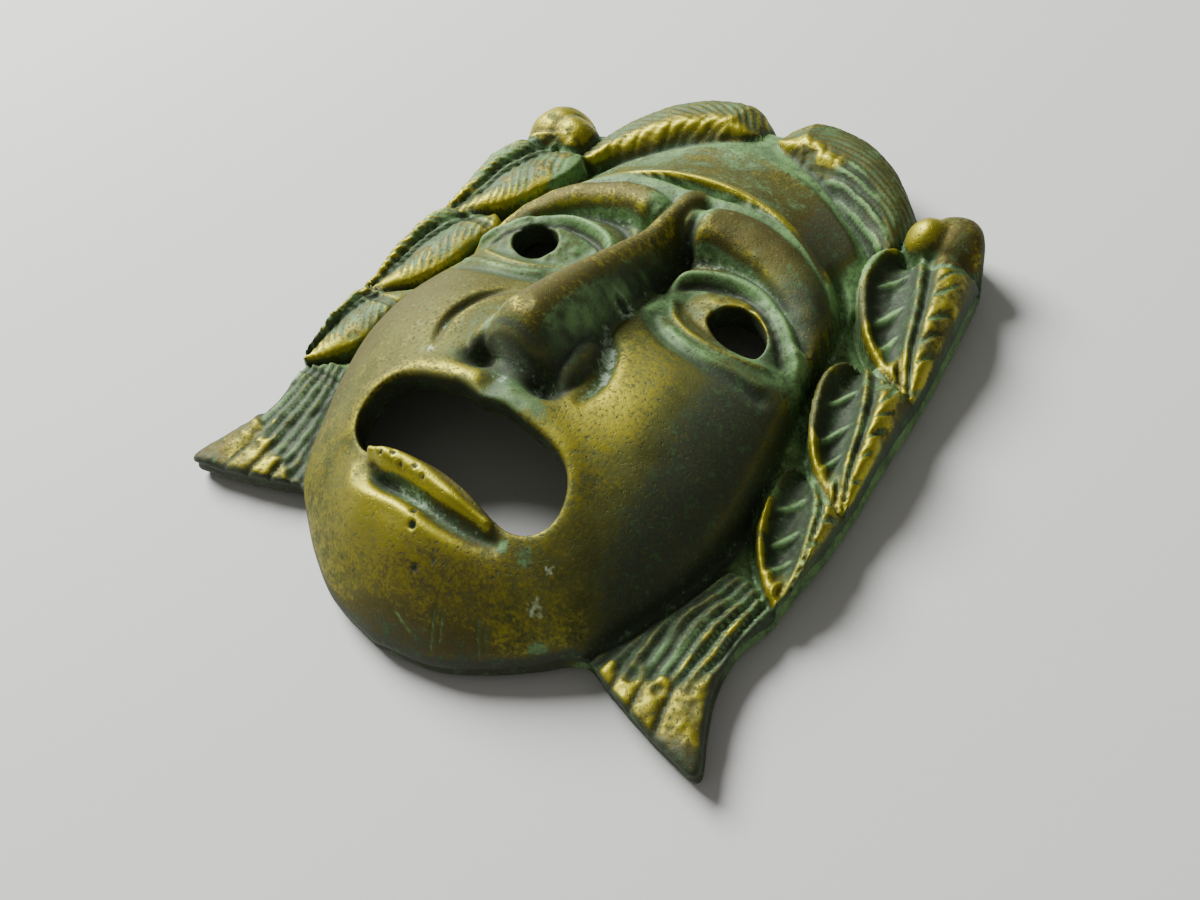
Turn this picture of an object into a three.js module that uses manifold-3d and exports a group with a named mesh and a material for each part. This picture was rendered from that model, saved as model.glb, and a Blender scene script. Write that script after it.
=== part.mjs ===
// Tragic theatre mask: one bronze casting, hollow behind, lying on its back rim.
// Millimetres. +X is the viewer's right looking at the face, +Y the top of the head,
// +Z comes out of the face. The flat back rim lies on z = 0.
import * as THREE from 'three';
import Module from 'manifold-3d';

// Sizes shared by several functions
const WALL = 2.6; // thickness of the casting
const GROUND = 3; // height of the channel between the face and the wreath
const FLOOR = 0.4; // raised shapes are drawn down to here and joined to the plate
const TOP = 30; // above everything on the mask
const FACE_CENTRE_Y = -4; // the face outline is measured as a radius from here
const GRID_HALF = 46; // height surfaces are drawn on a square this far each way
const GRID_MIDDLE_Y = 4.6; // middle of that square
const FACE_LEVELS = 7; // the face is drawn on two to this power cells each way
const FACE_TOLERANCE = 0.48; // and its cells are joined where they stay this close
const BACK_LEVELS = 5;
const BACK_TOLERANCE = 0.7;
const BELOW = -5; // under the mask, where the blocks that are cut or cut away start
const SKEW = 0.055; // slope by which the crown sits askew, as on the casting
const SKEW_FROM = 14; // the lean starts here
const SKEW_TO = 30; // and is full from here up

// Right half of the outer edge, from the notch between the top leaves down to the chin
const OUTLINE = [
  [0, 41.2], [1.4, 42.6], [5.4, 44], [10.4, 43.2], [15, 41], [18.6, 37.8], [20.6, 36.2],
  [22.6, 36.4], [25, 36.6], [27.8, 35.4], [29.6, 33], [30.8, 29.6], [31.7, 25], [32.4, 18.7],
  [32.8, 12], [33.1, 4], [33.3, -3], [33, -9], [32.4, -13.6], [31.4, -17.6], [31.8, -21.8],
  [33.3, -25.6], [35, -29.5], [31.6, -29.3], [27, -28.2], [23, -27], [19.6, -26],
  [15.7, -28.9], [11.8, -31.6], [6.8, -34.1], [0, -35.3],
];

// Right half of the edge of the face itself
const FACE_EDGE = [
  [0, 25.4], [6, 25.6], [11, 24.9], [15, 23.6], [18, 21.6], [20.2, 18.2], [21.2, 14], [22.4, 9],
  [23.8, 3], [25, -3], [25.3, -9], [24.2, -15], [22.4, -20], [20.8, -24], [18.6, -26.9],
  [15.9, -29.1], [12, -31.8], [6.9, -34.3], [0, -35.5],
];

// Right half of the mouth of the hollow behind
const HOLLOW_EDGE = [
  [0, 37.6], [5, 40.4], [10, 39.8], [14.4, 37.4], [18, 33.8], [22.6, 32.6], [26.4, 31.4],
  [28, 27.6], [29, 20], [29.8, 10], [30.2, 0], [29.8, -8], [28.6, -14], [26, -18.4],
  [21.6, -21.8], [17.6, -24.6], [12.6, -28.2], [6.6, -31.2], [0, -32.2],
];

// Right half of the mouth, from the middle of the upper lip round to the lower lip
const MOUTH = [
  [0, -12.4], [2.8, -12], [5.4, -12.3], [8.2, -12.7], [10.8, -13.6], [12.5, -15.6],
  [13, -18.2], [12.1, -20.3], [10, -21.5], [7.5, -21.4], [4.6, -20.7], [1.6, -20.3], [0, -20.2],
];

// The two pierced eyes are not quite alike
const EYE_HOLES = [
  [[10.5, 9.9], [10.9, 12], [13.2, 13.3], [16.2, 12.3], [17.8, 10.1], [16.9, 8.3], [13.6, 8.2]],
  [[-16.5, 9.7], [-17.1, 12.4], [-15.1, 14.2], [-12.4, 13.5], [-10.7, 11.7], [-11, 9.8], [-13.5, 8.6]],
];

// Height of the middle of the face up its length: [y, z]
const FACE_PROFILE = [
  [-60, 13], [-40, 13], [-30, 14], [-26, 14.6], [-22, 14.4], [-16, 14.6], [-8, 14.4], [0, 13.6],
  [6, 12], [12, 11], [18, 10.6], [25, 10.6], [50, 10.6],
];

// Ridge of the nose and of the column over it, and half its width: [y, z] and [y, width]
const NOSE_RIDGE = [
  [-40, 0], [-9.5, 13], [-8.2, 16.2], [-6.6, 19.2], [-4.4, 20.8], [-2.2, 20.7], [4.4, 18.2],
  [11.7, 14.9], [15.4, 13.2], [19, 12.7], [23, 11.9], [25.2, 10.6], [30, 9],
];
const NOSE_WIDTH = [
  [-9, 4.4], [-6, 4.4], [-3, 3.9], [2, 3.5], [8, 2.9], [13, 2.5], [17, 2.2], [22, 2.3], [26, 3.6],
];

// Small sums used all through
const clamp = (value, low, high) => Math.min(Math.max(value, low), high);

function ease(low, high, value) {
  const t = clamp((value - low) / (high - low), 0, 1);
  return t * t * (3 - 2 * t);
}

const bell = (distance, width) => Math.exp(-((distance / width) ** 2));

// The higher of two heights with a fillet of about this size where they meet
function join(a, b, fillet) {
  const t = clamp(0.5 + (0.5 * (a - b)) / fillet, 0, 1);
  return b * (1 - t) + a * t + fillet * t * (1 - t);
}

function table(rows, value) {
  if (value <= rows[0][0]) return rows[0][1];
  for (let i = 1; i < rows.length; i++) {
    if (value <= rows[i][0]) {
      const [x0, y0] = rows[i - 1];
      const [x1, y1] = rows[i];
      return y0 + ((y1 - y0) * (value - x0)) / (x1 - x0);
    }
  }
  return rows[rows.length - 1][1];
}

// A smooth line through the points, each span drawn in so many steps
function smoothLine(points, steps = 6) {
  const line = [];
  const last = points.length - 1;
  const point = (i) => {
    if (i < 0) return points[0].map((value, k) => 2 * value - points[1][k]);
    if (i > last) return points[last].map((value, k) => 2 * value - points[last - 1][k]);
    return points[i];
  };
  for (let i = 0; i < last; i++) {
    const [a, b, c, d] = [point(i - 1), point(i), point(i + 1), point(i + 2)];
    for (let j = 0; j < steps; j++) {
      const t = j / steps;
      line.push(b.map((value, k) => 0.5 * (
        2 * value + (c[k] - a[k]) * t
        + (2 * a[k] - 5 * value + 4 * c[k] - d[k]) * t * t
        + (3 * value - a[k] - 3 * c[k] + d[k]) * t * t * t)));
    }
  }
  line.push(points[last]);
  return line;
}

// A line on the mask that can be asked how far a point is from it and how far along it
function makeLine(points, steps = 6) {
  const line = smoothLine(points, steps);
  const start = [0];
  for (let i = 1; i < line.length; i++) {
    start.push(start[i - 1] + Math.hypot(line[i][0] - line[i - 1][0], line[i][1] - line[i - 1][1]));
  }
  const length = start[start.length - 1];
  return (x, y) => {
    let best = { distance: Infinity, place: 0, side: 1 };
    for (let i = 1; i < line.length; i++) {
      const [ax, ay] = line[i - 1];
      const dx = line[i][0] - ax;
      const dy = line[i][1] - ay;
      const t = clamp(((x - ax) * dx + (y - ay) * dy) / (dx * dx + dy * dy), 0, 1);
      const ox = x - ax - t * dx;
      const oy = y - ay - t * dy;
      const distance = Math.hypot(ox, oy);
      if (distance < best.distance) {
        const place = (start[i - 1] + t * (start[i] - start[i - 1])) / length;
        best = { distance, place, side: dx * oy - dy * ox < 0 ? -1 : 1, length };
      }
    }
    return best;
  };
}

// The edge of the face as a radius for each direction from its centre
const FACE_RADIUS = smoothLine(FACE_EDGE, 8)
  .map(([x, y]) => [Math.atan2(y - FACE_CENTRE_Y, x), Math.hypot(x, y - FACE_CENTRE_Y)])
  .sort((a, b) => a[0] - b[0]);

// 0 at the centre of the face, 1 at its edge
function faceReach(x, y) {
  return Math.hypot(x, y - FACE_CENTRE_Y) / table(FACE_RADIUS, Math.atan2(y - FACE_CENTRE_Y, x));
}

// Lines of the face, right side; the left side mirrors them, but for the fold of the cheek
const UPPER_LID = makeLine([
  [3.6, 10], [4, 12.6], [5.5, 14.6], [8, 15.9], [12, 16.3], [16, 15.1], [19.2, 12.8], [21.4, 10.2],
  [22, 8.2],
]);
const LOWER_LID = makeLine([
  [5.9, 11.3], [6.7, 9.7], [8.2, 8.2], [11, 6.9], [14.4, 6.7], [17.6, 7.4], [19.8, 8.4],
]);
const LID_FOLD = makeLine([
  [3.4, 15.4], [5.2, 17.2], [8.2, 18.2], [12.4, 17.9], [16, 16.5], [18.8, 14.4], [21, 11.6],
]);
const EYE_BAG = makeLine([[5.2, 7.6], [7.8, 5.4], [11, 4.1], [15, 3.7], [18.8, 3.9], [21.8, 4.3]]);
const BROW = makeLine([
  [3.3, 20.7], [5.8, 21.3], [9, 21.2], [12.8, 20.3], [16, 18.6], [18.8, 15.9], [20.9, 12.4],
]);
const FROWN = makeLine([[3.6, 11.6], [3.5, 14.6], [3, 17.2], [2.6, 20.4], [2.4, 23.4]]);
const RIGHT_FOLD = makeLine([[4.2, 1.6], [6.2, 0], [7.5, -2], [8.4, -4.4], [8.4, -6.6], [7.6, -8.6]]);
const LEFT_FOLD = makeLine([[8.6, 0.6], [10.2, -1.4], [10.9, -4], [10.5, -6.2], [9.1, -9]]);
const UPPER_LIP = makeLine([
  [0, -11.2], [2.6, -10.7], [6, -11], [9.6, -12], [12.2, -14], [13.8, -17.2], [13.2, -20.4],
]);
const LOWER_LIP = makeLine([[0, -21.5], [3, -21.7], [6, -21.9], [8.2, -22.2]]);
const LIP_GROOVE = makeLine([[0, -23.4], [3, -23.6], [6.2, -23.7], [9, -23.2]]);

const BROW_CREST = [
  [0, 12.5], [0.12, 12.2], [0.27, 11.5], [0.45, 10.7], [0.63, 9.9], [0.82, 8.8], [1, 7.4],
];
const BROW_WIDTH = [[0, 2.9], [0.2, 3.1], [0.6, 2.9], [1, 2.1]];

// How high the face stands straight up at its edge, and how its dome falls to that edge
const FACE_WALL = [[-36, 2], [-27, 2.6], [-15, 3.4], [-4, 5], [10, 5.4], [22, 6]];
const SIDE_REACH = [[-30, 2.6], [-18, 2.9], [-4, 3.6]];
const SIDE_BULGE = 0.66;

// The face without its features: a long dome, steep at the cheeks and rounder at the jaw
function faceDome(x, y, reach) {
  const top = table(FACE_PROFILE, y);
  const edge = table(FACE_WALL, y);
  const fall = clamp(1 - reach ** table(SIDE_REACH, y), 0, 1) ** SIDE_BULGE;
  const dome = edge + (top - edge) * fall;
  const forehead = edge + (top - edge) * (1 - 0.9 * clamp(x / 22, 0, 1) ** 2.6);
  const up = ease(18, 24, y);
  return dome * (1 - up) + forehead * up;
}

function face(signedX, y, reach) {
  const x = Math.abs(signedX);
  let z = faceDome(x, y, reach);
  z += 2 * bell(x, 9.5) * bell(y + 13.2, 7);
  z += 0.8 * bell(x - 14, 6.5) * bell(y + 3, 7);
  z += 1.2 * bell(x, 7.5) * bell(y + 27.5, 4.2);

  // Eye socket, eyeball and lids
  z -= 2.6 * bell(x - 12.5, 8) * bell(y - 11.8, 4.4);
  z = join(z, 10.1 - 0.035 * (x - 12.4) ** 2 - 0.09 * (y - 11.2) ** 2, 0.5);
  const lidHeight = (place) => Math.sin(Math.PI * clamp(place, 0.06, 0.94)) ** 0.5;
  const fold = LID_FOLD(x, y);
  z -= 0.9 * bell(fold.distance, 0.8) * ease(0, 0.1, fold.place);
  const upper = UPPER_LID(x, y);
  z += bell(upper.distance, 0.9) * lidHeight(upper.place);
  const lower = LOWER_LID(x, y);
  z += 0.5 * bell(lower.distance, 0.7) * lidHeight(lower.place);
  const bag = EYE_BAG(x, y);
  z -= 0.6 * bell(bag.distance, 0.9) * Math.sin(Math.PI * clamp(bag.place, 0.02, 0.98));

  // Brow, nose, nostrils and the furrows of the frown
  const brow = BROW(x, y);
  const across = clamp(brow.distance / table(BROW_WIDTH, brow.place), 0, 3);
  z = join(z, table(BROW_CREST, brow.place) - 2 * across ** 2.6, 0.5);
  const nose = clamp(x / table(NOSE_WIDTH, y), 0, 4);
  z = join(z, table(NOSE_RIDGE, y) - 3.2 * nose ** 2.2, 0.8);
  z = join(z, 16.4 - 3.6 * Math.hypot((x - 5) / 2.7, (y + 5.6) / 3.7) ** 2.4, 0.4);
  z -= 2.9 * bell(Math.hypot((x - 4) / 1.7, (y + 8) / 1.3), 1);
  const frown = FROWN(x, y);
  z -= 1.7 * bell(frown.distance, 0.85) * table([[0, 0.9], [0.2, 1], [0.55, 0.9], [1, 0.2]], frown.place);
  const isRight = signedX > 0;
  const cheek = (isRight ? RIGHT_FOLD : LEFT_FOLD)(x, y);
  const cheekDepth = (isRight ? 0.8 : 1.2) * Math.sin(Math.PI * clamp(cheek.place + 0.05, 0, 1));
  z -= cheekDepth * bell(cheek.distance, 0.9);

  // Lips and the groove under them
  const lip = UPPER_LIP(x, y);
  z += (isRight ? 0.4 : 0.7) * bell(lip.distance, 1.2) * (1 - 0.5 * lip.place);
  z -= 0.7 * bell(x, 1.3) * bell(y + 10.8, 1.8);
  const roll = LOWER_LIP(x, y);
  z = join(z, 15 - 0.9 * roll.place - 0.55 * roll.distance ** 2, 0.4);
  const groove = LIP_GROOVE(x, y);
  z -= 1.8 * bell(groove.distance, 0.95) * (1 - 0.6 * groove.place ** 2);
  return z;
}

// Three leaves down each side. rib: [x, y, z] down the middle; inner: width of the inner half
const SIDE_LEAVES = [
  { rib: [[23.8, 30.2, 6], [25.6, 26.6, 7], [27.6, 22, 7], [29, 18, 6], [31.4, 13.6, 4.6]], inner: 6.6 },
  { rib: [[25.8, 15.8, 4.8], [28, 12, 6.3], [29.6, 7.8, 6.3], [30.8, 3, 5.4], [32.6, -1.4, 4]], inner: 6.1 },
  { rib: [[27.2, 2.2, 4.2], [30.2, -1.4, 5.4], [31.4, -4.6, 5.3], [32.2, -8, 4.7], [32.6, -12.9, 3.6]],
    inner: 6.4 },
];
const SIDE_EDGE = [
  [-18, 31.4], [-13.6, 32.4], [-9, 33], [-3, 33.3], [4, 33.1], [12, 32.8], [18.7, 32.4], [25, 31.7],
  [31, 30.2],
];

// Height against the rib from the inner edge (-1) to the outer one (1). On the right a hollow
// in a raised border, on the left a smooth roll beside a groove; outside both, a lumpy roll
const RIGHT_SECTION = [
  [-1, -1.1], [-0.86, 0], [-0.64, -1.6], [-0.32, -1.6], [0, 0.1], [0.18, -0.6], [0.5, 0.6],
  [0.82, -0.7], [1, -2.4],
];
const LEFT_SECTION = [
  [-1, -1.3], [-0.86, -0.1], [-0.64, 0.4], [-0.32, 0.1], [0, -0.3], [0.18, -0.5], [0.5, 0.6],
  [0.82, -0.7], [1, -2.4],
];
const VEINS_PER_LEAF = 4;
const VEIN_LENGTH = 0.2; // as a share of the leaf's length
const VEIN_WIDTH = 0.5;

// The leaf's surface: along runs 0 to 1 from its stalk to its tip, across -1 to 1 outward
function sideLeafPoint(leaf, section, along, across) {
  const first = leaf.rib[0];
  const last = leaf.rib[leaf.rib.length - 1];
  const y = first[1] + along * (last[1] - first[1]);
  const ribX = table(leaf.rib.map((p) => [-p[1], p[0]]), -y);
  const ribZ = table(leaf.rib.map((p) => [-p[1], p[2]]), -y);
  const inner = leaf.inner * Math.sin(Math.PI * along ** 0.75) ** 0.62;
  const outer = Math.max(table(SIDE_EDGE, y) + 0.3 - ribX, 0.4) * ease(-0.02, 0.06, along);
  return [ribX + across * (across < 0 ? inner : outer), y, ribZ + table(section, across)];
}

// A raised vein on the inner half, running from near the rib toward the tip
function veinPoint(leaf, number, along, across) {
  const start = 0.16 + (0.62 * number) / (VEINS_PER_LEAF - 1);
  const from = sideLeafPoint(leaf, RIGHT_SECTION, start, -0.2);
  const to = sideLeafPoint(leaf, RIGHT_SECTION, Math.min(start + VEIN_LENGTH, 0.96), -0.7);
  const length = Math.hypot(to[0] - from[0], to[1] - from[1]);
  const spread = -across * VEIN_WIDTH * Math.sin(Math.PI * along);
  const x = from[0] + along * (to[0] - from[0]) + (spread * (to[1] - from[1])) / length;
  const y = from[1] + along * (to[1] - from[1]) - (spread * (to[0] - from[0])) / length;
  const z = from[2] + along * (to[2] - from[2]);
  return [x, y, z + 0.55 * (1 - across ** 2) * Math.sin(Math.PI * along) - 0.3];
}

// The two big leaves that meet over the forehead, cut with slanting lines
const TOP_LEAF = smoothLine([[1.2, 38.8], [6, 40], [11.8, 38], [17.2, 33.6], [20.8, 28.6]], 8);
const TOP_LEAF_WIDTH = [[0, 0.2], [0.05, 3.4], [0.15, 4.6], [0.35, 5.2], [0.7, 4.4], [0.95, 2], [1, 0.2]];
const TOP_LEAF_CREST = [[0, 7.4], [0.15, 8.9], [0.5, 8.4], [1, 6]];
const TOP_LEAF_CUTS = 8;

function topLeafPoint(along, across) {
  const slanted = clamp(along + 0.16 * Math.abs(across) * along * (1 - along) * 4, 0, 1);
  const place = slanted * (TOP_LEAF.length - 1);
  const i = Math.min(Math.floor(place), TOP_LEAF.length - 2);
  const [ax, ay] = TOP_LEAF[i];
  const [bx, by] = TOP_LEAF[i + 1];
  const step = Math.hypot(bx - ax, by - ay);
  const width = across * table(TOP_LEAF_WIDTH, slanted);
  const x = ax + (bx - ax) * (place - i) - (width * (by - ay)) / step;
  const y = ay + (by - ay) * (place - i) + (width * (bx - ax)) / step;
  const cut = Math.cos(along * TOP_LEAF_CUTS * 2 * Math.PI) * Math.min(Math.abs(across), 0.8);
  return [x, y, table(TOP_LEAF_CREST, slanted) - 3.2 * Math.abs(across) ** 2.4 + 0.3 * cut];
}

// The crown band over the forehead, sharp along its lower edge
const BAND_HALF = 18.6;

function bandPoint(along, up) {
  const x = (along * 2 - 1) * BAND_HALF;
  const low = 26.2 - 0.01 * x ** 2 - 0.00002 * x ** 4;
  const high = Math.max(35 - 0.022 * x ** 2, low + 1);
  return [x, low + up * (high - low), 11.3 - 0.012 * x ** 2 - 2.6 * up - 0.7 * Math.sin(Math.PI * up)];
}

// The brow of the crown that the band and the top leaves rest on
const CROWN_HALF = 21;
const crownLow = (x) => 23 - 0.008 * x ** 2;
const crownHigh = (x) => 41 - 0.02 * x ** 2;
const crownHeight = (x, up) => 9.2 - 0.012 * x ** 2 - 3 * up ** 2;

function crownPoint(along, up) {
  const x = (along * 2 - 1) * CROWN_HALF;
  return [x, crownLow(x) + up * (crownHigh(x) - crownLow(x)), crownHeight(x, up)];
}

// A berry on each side of the crown: a round ball against a larger knob
const RIGHT_BERRY = [
  { x: 24, y: 31.5, halfX: 3.1, halfY: 3.1, middle: 4.6, high: 4.6 },
  { x: 26.5, y: 32.5, halfX: 4.5, halfY: 4.3, middle: 3.4, high: 5 },
];
const LEFT_BERRY = [
  { x: -22.9, y: 31.5, halfX: 3.1, halfY: 3.1, middle: 4.3, high: 4.6 },
  { x: -26.5, y: 32.5, halfX: 4.5, halfY: 4.3, middle: 3.4, high: 5 },
];

// The top half of a ball, from its pole down to its widest ring
function ballPoint(ball, around, down) {
  const turn = around * 2 * Math.PI;
  const tilt = (down * Math.PI) / 2;
  return [
    ball.x + ball.halfX * Math.sin(tilt) * Math.cos(turn),
    ball.y + ball.halfY * Math.sin(tilt) * Math.sin(turn),
    ball.middle + ball.high * Math.cos(tilt),
  ];
}

// The ribbon ends at the jaw, fluted and flaring to two points
const RIBBON_MIDDLE = [[0, 28.6], [0.3, 27], [0.6, 26.6], [1, 27.6]];
const RIBBON_WIDTH = [[0, 4.6], [0.3, 6], [0.6, 7], [1, 9.4]];
const RIBBON_FLUTES = 5;

function ribbonPoint(down, across) {
  const x = table(RIBBON_MIDDLE, down) + across * table(RIBBON_WIDTH, down);
  const flute = 0.3 * Math.cos(across * Math.PI * RIBBON_FLUTES) * (1 - 0.6 * ease(0.7, 1, down));
  const fall = 0.5 * ease(0.5, 1, down) - 0.3 * ease(0.7, 0.95, down);
  return [x, -11 - 20 * down, 3.8 - 0.7 * across ** 2 + flute - fall];
}

// Splits a square of heights into right triangles, small only where the surface bends
function heightGrid(height, levels, tolerance) {
  const size = 2 ** levels;
  const step = (2 * GRID_HALF) / size;
  const heights = new Float64Array((size + 1) ** 2);
  const at = (i, j) => j * (size + 1) + i;
  for (let j = 0; j <= size; j++) {
    for (let i = 0; i <= size; i++) {
      heights[at(i, j)] = height(i * step - GRID_HALF, j * step - GRID_HALF + GRID_MIDDLE_Y);
    }
  }
  const errors = new Float64Array(heights.length);
  let changed = true;
  const measure = (ax, ay, bx, by, cx, cy) => {
    if (Math.abs(ax - bx) + Math.abs(ay - by) < 2) return 0;
    const mx = (ax + bx) / 2;
    const my = (ay + by) / 2;
    if (!Number.isInteger(mx) || !Number.isInteger(my)) return 0;
    const own = Math.abs(heights[at(mx, my)] - (heights[at(ax, ay)] + heights[at(bx, by)]) / 2);
    const worst = Math.max(errors[at(mx, my)], own,
      measure(cx, cy, ax, ay, mx, my), measure(bx, by, cx, cy, mx, my));
    if (worst > errors[at(mx, my)]) {
      errors[at(mx, my)] = worst;
      changed = true;
    }
    return worst;
  };
  while (changed) {
    changed = false;
    measure(0, 0, size, size, size, 0);
    measure(size, size, 0, 0, 0, size);
  }
  const triangles = [];
  const split = (ax, ay, bx, by, cx, cy) => {
    const mx = (ax + bx) / 2;
    const my = (ay + by) / 2;
    const whole = Number.isInteger(mx) && Number.isInteger(my);
    if (whole && errors[at(mx, my)] > tolerance) {
      split(cx, cy, ax, ay, mx, my);
      split(bx, by, cx, cy, mx, my);
    } else {
      triangles.push([at(ax, ay), at(bx, by), at(cx, cy)]);
    }
  };
  split(0, 0, size, size, size, 0);
  split(size, size, 0, 0, 0, size);
  return { size, step, heights, triangles };
}

// A closed block under a height grid, down to the given floor
function blockUnder(grid, floor) {
  const numbers = new Map();
  const positions = [];
  const vertex = (index, isTop) => {
    const key = index * 2 + (isTop ? 1 : 0);
    if (!numbers.has(key)) {
      numbers.set(key, positions.length / 3);
      const i = index % (grid.size + 1);
      const j = Math.floor(index / (grid.size + 1));
      const z = isTop ? grid.heights[index] : floor;
      positions.push(i * grid.step - GRID_HALF, j * grid.step - GRID_HALF + GRID_MIDDLE_Y, z);
    }
    return numbers.get(key);
  };
  const faces = [];
  const open = new Map();
  for (const [a, b, c] of grid.triangles) {
    const turn = cross(grid, a, b, c) > 0 ? [a, b, c] : [a, c, b];
    faces.push(...turn.map((index) => vertex(index, true)));
    faces.push(...[turn[0], turn[2], turn[1]].map((index) => vertex(index, false)));
    for (let k = 0; k < 3; k++) {
      const from = turn[k];
      const to = turn[(k + 1) % 3];
      if (!open.delete(`${to},${from}`)) open.set(`${from},${to}`, [from, to]);
    }
  }
  for (const [from, to] of open.values()) {
    faces.push(vertex(from, true), vertex(from, false), vertex(to, false));
    faces.push(vertex(from, true), vertex(to, false), vertex(to, true));
  }
  return { positions, faces };
}

function cross(grid, a, b, c) {
  const width = grid.size + 1;
  const x = (index) => index % width;
  const y = (index) => Math.floor(index / width);
  return (x(b) - x(a)) * (y(c) - y(a)) - (y(b) - y(a)) * (x(c) - x(a));
}

// A closed block under a surface drawn in rows and columns, down to the given floor
function blockUnderSheet(rows, columns, pointAt, { floor = FLOOR, mirror = false } = {}) {
  const numbers = new Map();
  const positions = [];
  const vertex = (point) => {
    const [x, y, z] = [mirror ? -point[0] : point[0], point[1], point[2]];
    const key = [x, y, z].map((value) => Math.round(value * 1e4)).join();
    if (!numbers.has(key)) {
      numbers.set(key, positions.length / 3);
      positions.push(x, y, z);
    }
    return numbers.get(key);
  };
  const faces = [];
  const triangle = (a, b, c) => {
    const corners = [a, b, c].map(vertex);
    if (new Set(corners).size < 3) return;
    faces.push(...(mirror ? corners.reverse() : corners));
  };
  const drop = ([x, y]) => [x, y, floor];
  const quad = (a, b, c, d) => {
    triangle(a, b, c);
    triangle(a, c, d);
  };
  const grid = [];
  for (let i = 0; i <= rows; i++) {
    grid.push([]);
    for (let j = 0; j <= columns; j++) grid[i].push(pointAt(i / rows, j / columns));
  }
  for (let i = 0; i < rows; i++) {
    for (let j = 0; j < columns; j++) {
      const [a, b, c, d] = [grid[i][j], grid[i + 1][j], grid[i + 1][j + 1], grid[i][j + 1]];
      quad(a, b, c, d);
      quad(...[d, c, b, a].map(drop));
    }
    quad(grid[i][0], drop(grid[i][0]), drop(grid[i + 1][0]), grid[i + 1][0]);
    quad(grid[i + 1][columns], drop(grid[i + 1][columns]), drop(grid[i][columns]), grid[i][columns]);
  }
  for (let j = 0; j < columns; j++) {
    quad(grid[0][j + 1], drop(grid[0][j + 1]), drop(grid[0][j]), grid[0][j]);
    quad(grid[rows][j], drop(grid[rows][j]), drop(grid[rows][j + 1]), grid[rows][j + 1]);
  }
  return { positions, faces };
}

// A ball as a closed block: its rounded top and a straight side down to the floor
function ballBlock(ball) {
  const around = 14;
  const rings = 4;
  const positions = [...ballPoint(ball, 0, 0)];
  for (let ring = 1; ring <= rings; ring++) {
    for (let k = 0; k < around; k++) positions.push(...ballPoint(ball, k / around, ring / rings));
  }
  for (let k = 0; k < around; k++) {
    const [x, y] = ballPoint(ball, k / around, 1);
    positions.push(x, y, FLOOR);
  }
  positions.push(ball.x, ball.y, FLOOR);
  const at = (ring, k) => 1 + (ring - 1) * around + (k % around);
  const faces = [];
  for (let k = 0; k < around; k++) {
    faces.push(0, at(1, k), at(1, k + 1));
    for (let ring = 1; ring <= rings; ring++) {
      faces.push(at(ring, k), at(ring + 1, k), at(ring + 1, k + 1));
      faces.push(at(ring, k), at(ring + 1, k + 1), at(ring, k + 1));
    }
    faces.push(at(rings + 1, k), positions.length / 3 - 1, at(rings + 1, k + 1));
  }
  return { positions, faces };
}

// A straight-sided block on a closed outline
function prism(outline, low, high) {
  const points = outline.map(([x, y]) => new THREE.Vector2(x, y));
  if (THREE.ShapeUtils.isClockWise(points)) points.reverse();
  const caps = THREE.ShapeUtils.triangulateShape(points, []);
  const count = points.length;
  const positions = [];
  for (const z of [low, high]) {
    for (const point of points) positions.push(point.x, point.y, z);
  }
  const faces = [];
  for (const [a, b, c] of caps) faces.push(a, c, b, a + count, b + count, c + count);
  for (let i = 0; i < count; i++) {
    const next = (i + 1) % count;
    faces.push(i, next, next + count, i, next + count, i + count);
  }
  return { positions, faces };
}

// Both halves of a mirrored outline as one closed line
function bothSides(half, steps) {
  const right = smoothLine(half, steps);
  const left = right.slice(1, -1).reverse().map(([x, y]) => [-x, y]);
  return [...right, ...left];
}

// Height of the front without its leaves: the face, the crown and the channel
function frontHeight(x, y) {
  const reach = faceReach(x, y);
  if (reach < 1) return face(x, y, reach);
  const up = (y - crownLow(x)) / (crownHigh(x) - crownLow(x));
  return x < CROWN_HALF && up > 0 && up < 1 ? crownHeight(x, up) : GROUND;
}

// Height of the hollow behind: the front moved inward by the wall, looked for on rings
function hollowHeight(signedX, y) {
  const x = Math.abs(signedX);
  let low = Infinity;
  for (let ring = 0; ring <= 2; ring++) {
    const out = (ring * WALL) / 2;
    const count = ring === 0 ? 1 : 10;
    for (let k = 0; k < count; k++) {
      const turn = (2 * Math.PI * k) / count;
      const rise = Math.sqrt(WALL ** 2 - out ** 2);
      low = Math.min(low, frontHeight(Math.abs(x + out * Math.cos(turn)), y + out * Math.sin(turn)) - rise);
    }
  }
  return Math.max(low, 0.8);
}

const wasm = await Module();
wasm.setup();

function solid({ positions, faces }) {
  return new wasm.Manifold(new wasm.Mesh({
    numProp: 3,
    vertProperties: new Float32Array(positions),
    triVerts: new Uint32Array(faces),
  }));
}

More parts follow.
